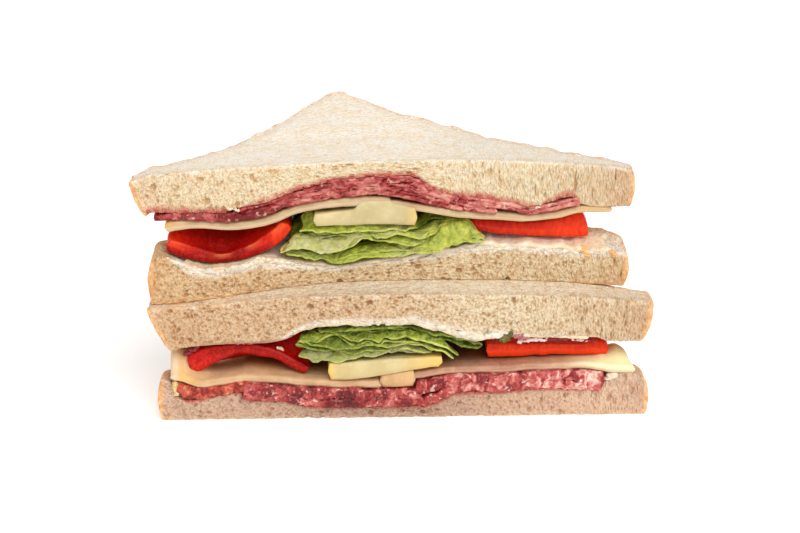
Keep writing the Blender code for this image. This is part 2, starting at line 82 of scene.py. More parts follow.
def profile(*points):
    """A smooth line through the points that never overshoots them, level past both ends."""
    xs, zs = np.array(points, float).T
    steps = np.diff(xs)
    rises = np.diff(zs) / steps
    slopes = np.zeros(len(xs))
    for i in range(1, len(xs) - 1):
        before, after = rises[i - 1], rises[i]
        if before * after > 0:
            slopes[i] = 2.0 * before * after / (before + after)

    def height(x):
        x = np.clip(x, xs[0], xs[-1])
        i = np.clip(np.searchsorted(xs, x) - 1, 0, len(steps) - 1)
        t = (x - xs[i]) / steps[i]
        return (
            zs[i] * (1 + 2 * t) * (1 - t) ** 2
            + zs[i + 1] * t**2 * (3 - 2 * t)
            + steps[i] * slopes[i] * t * (1 - t) ** 2
            - steps[i] * slopes[i + 1] * t**2 * (1 - t)
        )

    return height


PLAN = profile(
    (-84, 14.2), (-79, 14.8), (-70, 18), (-59, 27), (-37, 52.5), (-27, 70), (-17.3, SLICE_DEPTH),
    (-8.6, 74), (1.5, 61), (17, 47.5), (35, 32), (48, 25), (58, 18.8), (68, 15.6), (79, 14.2),
)
MIRRORED = -0.8


class Half:
    """One triangular half of the sandwich: the line of its cut, y(x), and its plan."""

    def __init__(self, name, cut, turned_over):
        self.name = name
        self.cut = cut
        self.turned_over = turned_over

    def reach(self, x):
        return PLAN(MIRRORED - x) if self.turned_over else PLAN(x)

    def share(self, x, depth):
        return np.clip(depth / self.reach(x), 0.0, 1.0)

    def edge(self, x, depth, zone):
        inside = (self.reach(x) - depth) * LEG_SLANT
        return np.clip(1.0 - inside / zone, 0.0, 1.0)

    def corner_edge(self, x, depth):
        outer = smooth((np.abs(x) - CURL_FROM) / (CURL_FULL - CURL_FROM))
        return self.edge(x, depth, CURL_ZONE) * outer * np.clip(depth / CURL_DEPTH, 0.0, 1.0)


SEAM = profile(
    (-78, 38), (-66, 38.3), (-48, 39.8), (-30, 41.1), (0, 41.6), (30, 41.2), (52, 40.5), (66, 39.6),
    (78, 38.8),
)

upper = Half("upper", profile((-84, -6.0), (-45, -1.5), (0, 2.5), (40, 3.5), (78, 3.5)), False)
UPPER_BASE_SETBACK = profile((-84, -1.5), (-45, -0.5), (-20, 2.0), (40, 1.5), (78, 0.5))
TOP_OUTSIDE = profile(
    (-83, 78.2), (-76, 80.4), (-60, 81.1), (-20, 81.7), (21, 82), (40, 81.3), (56, 80.2), (72, 78.8),
    (77, 77.6),
)
TOP_INSIDE = profile(
    (-79, 66.5), (-75.5, 68), (-67, 67.5), (-54, 66.8), (-48.4, 68.3), (-41.5, 69.4), (-35.8, 71.4),
    (-29.5, 73.4), (-15.3, 76.4), (2, 77.2), (6.5, 76.8), (11.6, 73), (19.6, 69.8), (27.6, 69.1),
    (43.6, 66.1), (57, 69.3), (59.5, 67), (65.4, 65.9),
)
UPPER_BASE_INSIDE = profile(
    (-77, 52.5), (-73.5, 54.5), (-69, 52), (-64.5, 49.7), (-57, 48), (-50, 48.7), (-42, 50.6),
    (-33, 49), (-19, 46.6), (-5, 47.8), (6, 48.6), (15, 50), (23, 51.6), (33, 52), (47, 51.5),
    (60, 50.4), (76, 50.4),
)
UPPER_CURL_SHARE = profile(
    (-70, 1.2), (0, 1), (59, 4), (61, 3.2), (64, 1.4), (66, 0.95), (70, 0.7), (76, 0.6),
)
UPPER_CHEESE_BOTTOM = profile(
    (-71.5, 62.3), (-61, 61.9), (-51.7, 60.6), (-42, 61.4), (-29.6, 65.5), (-20, 66.9), (-1, 66.9),
    (8.5, 65.2), (24.5, 62.6), (43.7, 61.1), (53.3, 62.2), (60.6, 63.8), (70, 63.8),
)

lower = Half("lower", profile((-80, -10.0), (84, -10.0)), True)
LOWER_TOP_INSIDE = profile(
    (-76, 24.3), (-71, 23.6), (-66.6, 24.6), (-51, 26.3), (-41.5, 26.6), (-35.2, 27.8), (-30.4, 30.1),
    (-21.2, 32.4), (0, 32.2), (6, 32.8), (9.6, 31.6), (16, 29.8), (21, 28.4), (27, 27), (33.5, 27.6),
    (50, 27), (64.5, 26.4), (68.4, 25.2), (80, 24.9),
)
BASE_INSIDE = profile(
    (-76, 14.5), (-72, 13.3), (-69.7, 7.7), (-65.6, 6.6), (-60.8, 7.5), (-52.7, 9.6), (-49.5, 9.2),
    (-47.4, 6.9), (-36.8, 6.5), (-30.4, 5.2), (-21.5, 4.2), (8, 4.2), (14.5, 5.8), (19.3, 8.3),
    (33.8, 8.6), (46.7, 9.5), (59.6, 9.3), (66, 8.8), (68, 12.4), (70, 14), (76, 14.3),
    (79, 13.4), (82, 11.4),
)
LOWER_CHEESE_TOP = profile(
    (-70, 15.2), (-62.3, 13.1), (-57.5, 14), (-47.9, 15.2), (-36.7, 14.4), (-21.4, 13), (-5, 13),
    (6.9, 15.6), (20.2, 17.2), (33.1, 17.2), (45.6, 17.9), (60, 18.2), (71, 17.2), (77.2, 17),
)


def top_outside(x, depth):
    lift = APEX_LIFT * np.maximum(depth - APEX_START, 0.0) / (SLICE_DEPTH - APEX_START)
    return TOP_OUTSIDE(x) + lift - CRUST_DROOP * upper.edge(x, depth, CRUST_ZONE) ** 2


def top_inside(x, depth):
    crust = TOP_OUTSIDE(x) + APEX_LIFT * depth / SLICE_DEPTH - BREAD_THICK
    return mix(TOP_INSIDE(x), crust, upper.share(x, depth))


def upper_base_inside(x, depth):
    crust = SEAM(x) + BREAD_THICK - BREAD_THIN
    curl = CORNER_CURL * UPPER_CURL_SHARE(x) * upper.corner_edge(x, depth)
    return mix(UPPER_BASE_INSIDE(x), crust, upper.share(x, depth)) + curl


def upper_base_outside(x, depth):
    return SEAM(x) + TOUCHING + UPPER_BASE_ROUND * upper.edge(x, depth, CRUST_ZONE / 2) ** 2


def lower_top_outside(x, depth):
    return SEAM(x) - TOUCHING - CRUST_DROOP / 2 * lower.edge(x, depth, CRUST_ZONE) ** 2


def lower_top_inside(x, depth):
    return mix(LOWER_TOP_INSIDE(x), SEAM(x) - BREAD_THICK, lower.share(x, depth))


def base_inside(x, depth):
    crust = BREAD_THICK - BASE_THIN
    return mix(BASE_INSIDE(x), crust, lower.share(x, depth)) + CORNER_CURL / 2 * lower.corner_edge(x, depth)


def base_outside(x, depth):
    return BASE_ROUND * lower.edge(x, depth, CRUST_ZONE / 2) ** 2


def settle_upper(x, z, depth):
    """The height at this depth of what shows at height z in the cut, in the upper half."""
    shift = top_inside(x, depth) - top_inside(x, 0.0)
    cheese, floor = UPPER_CHEESE_BOTTOM(x), upper_base_inside(x, 0.0)
    share = (z - floor) / (cheese - floor)
    squeezed = mix(upper_base_inside(x, depth), cheese + shift, share)
    return np.where(z >= cheese, z + shift, squeezed)


def settle_lower(x, z, depth):
    """The same in the lower half, where the salami and cheese lie on the lowest slice."""
    shift = base_inside(x, depth) - base_inside(x, 0.0)
    cheese, roof = LOWER_CHEESE_TOP(x), lower_top_inside(x, 0.0)
    share = (z - cheese) / (roof - cheese)
    squeezed = mix(cheese + shift, lower_top_inside(x, depth), share)
    return np.where(z <= cheese, z + shift, squeezed)


upper.settle, lower.settle = settle_upper, settle_lower

# ------------------------------ noise, meshes and pieces
LATTICE = np.random.default_rng(11).uniform(-1.0, 1.0, 8192)


def noise(points, size, seed=0):
    """Smooth noise between -1 and 1 with waves about size mm long, or (x, y, z) mm long."""
    scaled = points[..., :3] / size
    base = np.floor(scaled).astype(np.int64)
    part = scaled - base
    fade = part**3 * (part * (part * 6 - 15) + 10)
    total = 0.0
    for corner in np.ndindex(2, 2, 2):
        cell = base + corner
        key = cell[..., 0] * 7919 + cell[..., 1] * 104729 + cell[..., 2] * 1299709 + seed * 15485863
        weight = np.prod(np.where(np.array(corner) == 1, fade, 1 - fade), axis=-1)
        total = total + LATTICE[(key ^ (key >> 9)) % len(LATTICE)] * weight
    return total


def at(x, y=0.0, z=0.0):
    """Points with these coordinates, each an array like x or one number."""
    return np.stack([x, y + 0 * x, z + 0 * x], axis=-1)


def along_x(x, size, seed):
    """Noise that goes by x alone."""
    return noise(at(x, 0.37, 0.71), size, seed)


def rim(across, deep):
    """The grid's outer points in order, as (station, row): along the front, back up the other sides."""
    front = [(i, 0) for i in range(across - 1)]
    right = [(across - 1, j) for j in range(deep - 1)]
    back = [(i, deep - 1) for i in range(across - 1, 0, -1)]
    left = [(0, j) for j in range(deep - 1, 0, -1)]
    return np.array(front + right + back + left)


def loft(top, bottom, wall_rows=0, bulge=0.0):
    """A closed shell of four-sided faces between two grids of (x, y, z, further values)."""
    across, deep = top.shape[:2]
    count = across * deep
    index = np.arange(count).reshape(across, deep)
    corners = np.stack([index[:-1, :-1], index[1:, :-1], index[1:, 1:], index[:-1, 1:]], -1).reshape(-1, 4)
    faces = [corners, corners[:, ::-1] + count]

    ring = rim(across, deep)
    high, low = top[ring[:, 0], ring[:, 1]], bottom[ring[:, 0], ring[:, 1]]
    plan = (high[:, :2] + low[:, :2]) / 2
    along = np.roll(plan, -1, axis=0) - np.roll(plan, 1, axis=0)
    outward = np.stack([along[:, 1], -along[:, 0]], axis=1)
    outward /= np.linalg.norm(outward, axis=1)[:, None] + 1e-9
    outward[ring[:, 1] == 0] = 0.0
    ids = index[ring[:, 0], ring[:, 1]]
    rows, walls = [ids], []
    for row in range(1, wall_rows + 1):
        share = row / (wall_rows + 1)
        wall = mix(high, low, share)
        wall[:, :2] += outward * bulge * np.sin(np.pi * share)
        rows.append(2 * count + len(walls) * len(ring) + np.arange(len(ring)))
        walls.append(wall)
    rows.append(ids + count)
    for above, below in zip(rows, rows[1:]):
        faces.append(np.stack([above, below, np.roll(below, -1), np.roll(above, -1)], -1))
    columns = top.shape[2]
    points = np.concatenate([top.reshape(-1, columns), bottom.reshape(-1, columns), *walls])
    return points, np.concatenate(faces)


def normals_of(points, faces):
    a, b, c, d = (points[faces[:, k], :3] for k in range(4))
    face_normals = np.cross(c - a, d - b)
    total = np.zeros((len(points), 3))
    for k in range(4):
        for axis in range(3):
            total[:, axis] += np.bincount(faces[:, k], face_normals[:, axis], len(points))
    return total / (np.linalg.norm(total, axis=1)[:, None] + 1e-12)


def relax(points, faces, weight, times):
    """Rounds off what the weight picks out, by moving points towards the middle of their neighbours."""
    start, end = faces.ravel(), np.roll(faces, -1, axis=1).ravel()
    count = np.bincount(start, minlength=len(points))[:, None]
    for _ in range(times):
        middle = np.stack([np.bincount(start, points[end, k], len(points)) for k in range(3)], 1) / count
        points[:, :3] += (middle - points[:, :3]) * weight[:, None]


def piece(name, node, finish, shells, fields=()):
    """One object from closed shells of (points, faces), for a node of the part or on its own."""
    points = np.concatenate([shell[0] for shell in shells])
    starts = np.cumsum([0] + [len(shell[0]) for shell in shells])
    faces = np.concatenate([shell[1] + start for shell, start in zip(shells, starts)])
    mesh = bpy.data.meshes.new(name)
    mesh.vertices.add(len(points))
    mesh.vertices.foreach_set("co", ((points[:, :3] + SHIFT) * MM).ravel())
    mesh.loops.add(faces.size)
    mesh.loops.foreach_set("vertex_index", faces.ravel())
    mesh.polygons.add(len(faces))
    mesh.polygons.foreach_set("loop_start", np.arange(0, faces.size, 4))
    mesh.update(calc_edges=True)
    mesh.shade_smooth()
    for k, field in enumerate(fields):
        layer = mesh.attributes.new(field, "FLOAT", "POINT")
        layer.data.foreach_set("value", points[:, 3 + k].astype(np.float32))
    mesh.materials.append(finish)
    made = bpy.data.objects.new(name, mesh)
    bpy.context.scene.collection.objects.link(made)
    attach(made, "root")
    if node:
        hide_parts(node)
    return made


# ------------------------------ finishes
def rgb(red, green, blue):
    """A colour given as it shows on a screen, 0 to 255, in the linear values that shaders take."""
    shown = np.array([red, green, blue]) / 255.0
    return (*np.where(shown <= 0.04045, shown / 12.92, ((shown + 0.055) / 1.055) ** 2.4).tolist(), 1.0)


def between(colour, other, share):
    """The colour, mixed with this share of the other."""
    return tuple(mix(np.array(colour), np.array(other), share))


class Finish:
    """A material and short calls that add its nodes. Sizes in them are in millimetres."""

    def __init__(self, name, roughness, specular, soft, reach):
        """soft is how much light goes into it, and reach how far its red, green and blue get there."""
        self.made = bpy.data.materials.new(name)
        self.made.use_nodes = True
        self.tree = self.made.node_tree
        self.shader = self.tree.nodes["Principled BSDF"]
        self.set("Roughness", roughness)
        self.set("Specular IOR Level", specular)
        self.set("Subsurface Weight", soft)
        self.set("Subsurface Radius", reach)
        self.set("Subsurface Scale", MM)
        self.mm = self.stretched(self.add("ShaderNodeTexCoord").outputs["Object"], (1.0 / MM,) * 3)

    def set(self, socket, value):
        self.shader.inputs[socket].default_value = value

    def add(self, kind, inputs=(), **settings):
        node = self.tree.nodes.new(kind)
        for key, value in settings.items():
            setattr(node, key, value)
        for key, value in dict(inputs).items():
            if isinstance(value, bpy.types.NodeSocket):
                self.tree.links.new(value, node.inputs[key])
            else:
                node.inputs[key].default_value = value
        return node

    def vector(self, operation, a, b):
        return self.add("ShaderNodeVectorMath", {0: a, 1: b}, operation=operation).outputs[0]

    def stretched(self, place, scale):
        return self.vector("MULTIPLY", place, scale)

    def noise(self, size, detail=2.0, place=None, distortion=0.0):
        inputs = {"Vector": place or self.mm, "Scale": 1.0 / size, "Detail": detail, "Distortion": distortion}
        return self.add("ShaderNodeTexNoise", inputs).outputs[0]

    def cells(self, size, place=None, output="Distance", feature="F1"):
        inputs = {"Vector": place or self.mm, "Scale": 1.0 / size}
        return self.add("ShaderNodeTexVoronoi", inputs, feature=feature).outputs[output]

    def seams(self, size, place, *ranges):
        """Values that go by how far a point is from the nearest border between two cells."""
        return self.ranged(self.cells(size, place, feature="DISTANCE_TO_EDGE"), *ranges)

    def warped(self, size, amount, place=None):
        """The place, moved about by noise."""
        place = place or self.mm
        inputs = {"Vector": place, "Scale": 1.0 / size, "Detail": 1.0}
        shift = self.add("ShaderNodeTexNoise", inputs).outputs["Color"]
        centred = self.vector("SUBTRACT", shift, (0.5, 0.5, 0.5))
        return self.vector("ADD", place, self.stretched(centred, (amount,) * 3))

    def field(self, name, output="Fac"):
        return self.add("ShaderNodeAttribute", attribute_type="GEOMETRY", attribute_name=name).outputs[output]

    def ranged(self, value, low, high, start=0.0, end=1.0):
        """The value, so that low to high becomes start to end."""
        inputs = {"Value": value, "From Min": low, "From Max": high, "To Min": start, "To Max": end}
        return self.add("ShaderNodeMapRange", inputs, clamp=True).outputs[0]

    def patches(self, size, detail, low=0.35, high=0.65, start=0.0, end=1.0, place=None):
        """Noise of which low to high becomes start to end."""
        return self.ranged(self.noise(size, detail, place), low, high, start, end)

    def math(self, operation, a, b):
        return self.add("ShaderNodeMath", {0: a, 1: b}, operation=operation).outputs[0]

    def total(self, *terms):
        """The sum of the values. A pair is a value and its weight."""
        weighted = [self.math("MULTIPLY", *term) if isinstance(term, tuple) else term for term in terms]
        result = weighted[0]
        for value in weighted[1:]:
            result = self.math("ADD", result, value)
        return result

    def blend(self, share, a, b, kind="MIX"):
        node = self.add("ShaderNodeMix", {0: share, 6: a, 7: b}, data_type="RGBA", blend_type=kind)
        return node.outputs[2]

    def ramp(self, value, *stops):
        node = self.add("ShaderNodeValToRGB", {0: value})
        elements = node.color_ramp.elements
        while len(elements) < len(stops):
            elements.new(0.5)
        for element, (at, colour) in zip(elements, stops):
            element.position = at
            element.color = colour
        return node.outputs[0]

    def done(self, colour, height, depth, roughness=None):
        """The material with this colour and a relief of this height, whose depth is in millimetres."""
        bump = self.add("ShaderNodeBump", {"Height": height, "Distance": depth * MM, "Strength": 1.0})
        self.tree.links.new(colour, self.shader.inputs["Base Color"])
        self.tree.links.new(bump.outputs[0], self.shader.inputs["Normal"])
        if roughness:
            self.tree.links.new(roughness, self.shader.inputs["Roughness"])
        return self.made


def bread_finish(name, light, dark, tan_and_shade_colour, face, stain):
    """Crumb: light grains on a darker ground, darker where one of its fields says, partly browning near the
    crust and partly painted shade, and its crust.

    face has the light and the dark colour of its outer face and that of the pits in it.
    """
    f = Finish(name, roughness=0.88, specular=0.2, soft=0.15, reach=(1.6, 1.0, 0.6))
    grain = f.field("grain", "Vector")
    place = f.warped(1.4, 0.9, grain)
    pebbles = f.ranged(f.cells(1.15, place), 0.08, 0.55, 1.0, 0.0)
    small = f.ranged(f.cells(0.6, place), 0.1, 0.6, 1.0, 0.0)
    fine = f.patches(0.9, 3.0, 0.3, 0.7, 0.0, 0.38, grain)
    broad = f.patches(3.5, 3.0, 0.3, 0.7, -0.09, 0.09, grain)
    tone = f.total((pebbles, 0.42), (small, 0.2), fine, broad)
    tone = f.math("SUBTRACT", tone, f.math("MULTIPLY", f.field("pore"), 0.5))
    colour = f.ramp(tone, (0.04, dark), (0.34, between(light, dark, 0.36)), (0.85, light))
    # Painted shade: multiplied towards a darker colour where the field says, over some real browning near the
    # crust.
    colour = f.blend(f.field("darker_tan"), colour, tan_and_shade_colour, "MULTIPLY")
    outer = f.blend(f.patches(5.0, 4.0), face[0], face[1])
    outer = f.blend(f.ranged(tone, 0.05, 0.36, 0.6, 0.0), outer, face[2])
    share = f.total(f.field("face"), f.patches(2.4, 3.0, 0.3, 0.7, -0.35, 0.2))
    colour = f.blend(f.ranged(share, 0.1, 0.8), colour, outer)
    spotted = f.math("MULTIPLY", f.field("stain"), f.patches(1.6, 3.0, 0.35, 0.6, 0.5, 1.0))
    colour = f.blend(spotted, colour, stain)
    darker_tan = f.ramp(
        f.noise(2.0, 4.0),
        (0.3, rgb(250, 212, 166)), (0.5, rgb(238, 184, 130)), (0.7, rgb(214, 152, 96)),
    )
    rough_crust = f.total(f.field("crust"), f.patches(1.8, 3.0, 0.3, 0.7, -0.3, 0.3))
    colour = f.blend(f.ranged(rough_crust, 0.2, 0.8), colour, darker_tan)
    calm = f.ranged(f.total(f.field("face"), f.field("crust")), 0.0, 1.0, 1.0, 0.55)
    return f.done(colour, f.math("MULTIPLY", tone, calm), 1.0)


def salami_finish(name, grain, *tones):
    """Lean meat in patches, with white fat. The field tone goes from pink, below 0, to dark red."""
    f = Finish(name, roughness=0.42, specular=0.4, soft=0.25, reach=(1.6, 0.8, 0.6))
    place = f.stretched(f.warped(3.0, 2.4), grain)
    pick = f.add("ShaderNodeSeparateColor", {0: f.cells(2.6, place, "Color")}).outputs[0]
    streaks = f.noise(2.2, 5.0, place, distortion=1.2)
    patches = f.total((pick, 0.38), (streaks, 1.35))
    toned = f.total(f.math("SUBTRACT", patches, 0.3), f.field("tone"))
    lean = f.ramp(toned, *zip((0.12, 0.26, 0.42, 0.58, 0.76, 0.95), tones))
    specks = f.ranged(f.cells(1.4, f.warped(1.2, 1.0)), 0.1, 0.34, 0.18, 0.0)
    colour = f.blend(specks, lean, tones[0])
    fat = f.patches(1.8, 3.0, 0.62, 0.7, 0.0, 0.7, f.warped(2.0, 1.5))
    colour = f.blend(fat, colour, tones[0])
    height = f.total((f.noise(1.6, 3.0), 1.3), (f.noise(0.6), 0.3))
    return f.done(colour, height, 0.35, f.patches(1.5, 2.0, 0.35, 0.65, 0.2, 0.5))


def cheese_finish(name, light, dark, yellow):
    """Pale cheese. Its fields say how dried and yellow it is, how much a painted highlight lightens its lower
    edge, with how pale it is at an end, and how much painted shade darkens it deep inside.
    """
    f = Finish(name, roughness=0.42, specular=0.35, soft=0.3, reach=(2.4, 1.5, 0.6))
    colour = f.blend(f.patches(7.0, 2.0), light, dark)
    colour = f.blend(f.patches(1.3, 3.0, 0.55, 0.75, 0.0, 0.3), colour, rgb(232, 214, 172))
    colour = f.blend(f.field("yellow"), colour, yellow)
    # Painted highlight: lighter on its lower edge, where the field also holds the real pale end.
    highlight_and_pale_end = f.ranged(f.field("below"), 0.2, 2.0, 0.0, 1.35)
    colour = f.blend(highlight_and_pale_end, colour, between(light, rgb(240, 220, 190), 0.45))
    colour = f.blend(f.field("deep"), colour, rgb(190, 142, 86), "MULTIPLY")
    height = f.total(f.noise(1.1, 3.0), (f.noise(5.0), 2.0))
    roughness = f.total(f.patches(1.5, 2.0, 0.3, 0.7, 0.3, 0.5), (f.field("deep"), 0.45))
    return f.done(colour, height, 0.2, roughness)


def pepper_finish():
    """Red pepper: one of its fields paints light and shade, from shaded crimson to lit orange red, and ridge
    is its pale inner rib.
    """
    f = Finish("pepper_flesh", roughness=0.28, specular=0.12, soft=0.15, reach=(1.8, 0.5, 0.2))
    f.set("Coat Weight", 0.06)
    f.set("Coat Roughness", 0.1)
    streak = f.noise(1.0, 3.0, f.stretched(f.warped(4.0, 2.0), (1.0, 1.0, 0.3)))
    # Painted light and shade: crimson where the strip is shaded, orange red where it is lit.
    share = f.total(f.field("painted_light"), f.ranged(streak, 0.3, 0.7, -0.16, 0.16))
    flesh = f.ramp(share, (0.0, rgb(136, 6, 4)), (0.4, rgb(190, 22, 12)), (1.0, rgb(246, 66, 22)))
    speck = f.ranged(f.cells(0.8, f.warped(1.0, 0.5)), 0.45, 0.8, 0.0, 0.25)
    cut = f.blend(speck, flesh, rgb(222, 74, 50))
    colour = f.blend(f.field("cut"), flesh, cut)
    colour = f.blend(f.field("ridge"), colour, rgb(240, 116, 62))
    return f.done(colour, f.total((streak, 1.0), (f.noise(0.6), 0.4)), 0.25)


def lettuce_finish(name, dark, middle, light):
    """A leaf: pale is where it is whitish, edge its thin yellow-green rim, deep where painted shade darkens
    it.
    """
    f = Finish(name, roughness=0.4, specular=0.3, soft=0.3, reach=(1.0, 1.4, 0.3))
    mottle = f.noise(2.6, 4.0, f.warped(3.0, 1.5))
    green = f.ramp(mottle, (0.3, dark), (0.5, middle), (0.7, light))
    veins = f.seams(2.4, f.warped(1.5, 0.8), 0.0, 0.14, 0.35, 0.0)
    green = f.blend(veins, green, rgb(200, 208, 112))
    pale = f.blend(f.ranged(mottle, 0.35, 0.65), rgb(218, 210, 158), rgb(182, 182, 106))
    colour = f.blend(f.field("pale"), green, pale)
    colour = f.blend(f.field("edge"), colour, rgb(208, 214, 108))
    # Painted shade where the field deep says.
    colour = f.blend(f.field("deep"), colour, rgb(124, 134, 50), "MULTIPLY")
    puckers = f.seams(4.2, f.warped(3.0, 1.8), 0.0, 0.3, 0.0, 1.6)
    height = f.total((mottle, 1.4), (veins, -0.8), puckers)
    return f.done(colour, height, 0.5, f.ranged(f.field("deep"), 0.0, 1.0, 0.4, 0.95))


def mayonnaise_finish():
    """Cream that is as yellow and grainy as the crumb where the field thin says that it is soaked in, and at
    its front edge, where the same colours also paint shade.
    """
    f = Finish("mayonnaise_spread", roughness=0.34, specular=0.4, soft=0.3, reach=(1.6, 1.2, 0.8))
    colour = f.blend(f.patches(3.0, 3.0), rgb(252, 240, 218), rgb(244, 220, 190))
    soaked = f.blend(f.patches(0.9, 3.0), rgb(248, 228, 194), rgb(222, 192, 150))
    share = f.total(f.field("thin"), f.patches(2.2, 3.0, 0.3, 0.7, -0.4, 0.4))
    colour = f.blend(f.ranged(share, 0.2, 0.8), colour, soaked)
    colour = f.blend(f.patches(1.4, 2.0, 0.7, 0.8, 0.0, 0.5), colour, rgb(240, 176, 120))
    return f.done(colour, f.noise(1.0, 3.0), 0.5)


def smear_finish(name, light, dark):
    f = Finish(name, roughness=0.4, specular=0.4, soft=0.2, reach=(1.2, 0.8, 0.5))
    return f.done(f.blend(f.patches(0.9, 3.0), light, dark), f.noise(0.8, 3.0), 0.3)


# ------------------------------ bread
STATION_STEP = 0.43
NEAR_ROWS = np.array([0.0, 0.3, 0.7, 1.2, 1.9, 2.8, 4.0])  # distances from the cut and from the crust
MIDDLE_ROWS = 26
WALL_ROWS = 28
SHALLOW_REACH = 14.0
TIP_RIND = 0.9  # how wide the crust looks at the ends of the cut
FINE_HOLES, FINE_RADII = 520, (0.3, 0.7)
COARSE_HOLES, COARSE_RADII = 40, (0.6, 1.1)
MOSTLY_SMALL = 2.5  # the power of a random share that gives a hole's radius
HOLE_REACH = 1.6  # how far into the crumb a hole reaches, next to its radius
LARGE_HOLE_REACH, LARGE_HOLE_DEPTH = 2.0, 1.0
PIT_PLACES, PIT_RADII, PIT_STRETCH, PIT_DEPTH = (2.0, 60.0), (0.4, 0.9), (0.8, 2.0), 0.35
CUT_FADE, CRUST_FADE = 0.6, 0.9  # how far behind the cut and inside the crust their roughness fades
ROUNDING_TIMES = 6
LIP_INSET, LIP_WIDTH = 1.4, 1.0
FLOOR_CLEARANCE = 0.05
BREAD_FIELDS = ("stain", "darker_tan", "face", "crust", "pore")
STAIN, TAN_AND_SHADE, FACE, CRUST, PORE = range(3, 8)  # their columns, after x, y and z
DEPTH, INSIDE = STAIN, TAN_AND_SHADE  # what the first two hold until the slice has its shape


def depth_rows(reach):
    """Depths behind the cut, close together at the cut and at the crust."""
    near = NEAR_ROWS[None, :] * np.minimum(1.0, reach / SHALLOW_REACH)
    share = np.linspace(0.0, 1.0, MIDDLE_ROWS + 2)[None, 1:-1]
    middle = mix(near[:, -1:], reach - near[:, -1:], share)
    return np.concatenate([near, middle, reach - near[:, ::-1]], axis=1)


def holes_in(rng, count, span, height, size, stretch, y):
    """Round and drawn-out holes in the cut: where they are, their radii and how deep they go."""
    x = rng.uniform(*span, count)
    z = rng.uniform(*height, count)
    radius = size[0] + (size[1] - size[0]) * rng.random(count) ** MOSTLY_SMALL
    drawn = stretch(x) ** rng.uniform(0.3, 1.4, count)
    return np.stack([x, y(x), z, radius / drawn, radius * HOLE_REACH, radius * drawn, radius], axis=1)


def press(points, normals, holes):
    """Dents the surface where the holes are, and marks how deep in them each point is."""
    order = np.argsort(points[:, 0])
    xs = points[order, 0]
    dent = np.zeros(len(points))
    mark = np.zeros(len(points))
    for x, y, z, rx, ry, rz, deep in holes:
        reach = max(rx, 0.5)
        ids = order[np.searchsorted(xs, x - reach):np.searchsorted(xs, x + reach)]
        away = ((points[ids, :3] - (x, y, z)) / (rx, ry, rz)) ** 2
        inside = np.clip(1.0 - away.sum(axis=1), 0.0, 1.0)
        dent[ids] = np.maximum(dent[ids], 0.9 * deep * inside)
        mark[ids] = np.maximum(mark[ids], inside**0.7 * min(1.0, deep))
    points[:, :3] -= normals * dent[:, None]
    points[:, PORE] = np.maximum(points[:, PORE], mark)


def grain_of(points, drawn, middle):
    """Where each point is in crumb that is drawn out upwards, or squashed where drawn(x) is below 1."""
    xs = np.linspace(-90.0, 90.0, 721)
    along = np.cumsum(drawn(xs) ** 0.5) * (xs[1] - xs[0])
    x = np.interp(points[:, 0], xs, along)
    return np.stack([x, points[:, 1], (points[:, 2] - middle) / drawn(points[:, 0]) ** 0.5], axis=1)


def bumps(seed, *waves):
    """The sum of some noises, each as its height, the points it goes by and the size of its waves."""
    return sum(height * noise(points, size, seed + k) for k, (height, points, size) in enumerate(waves))


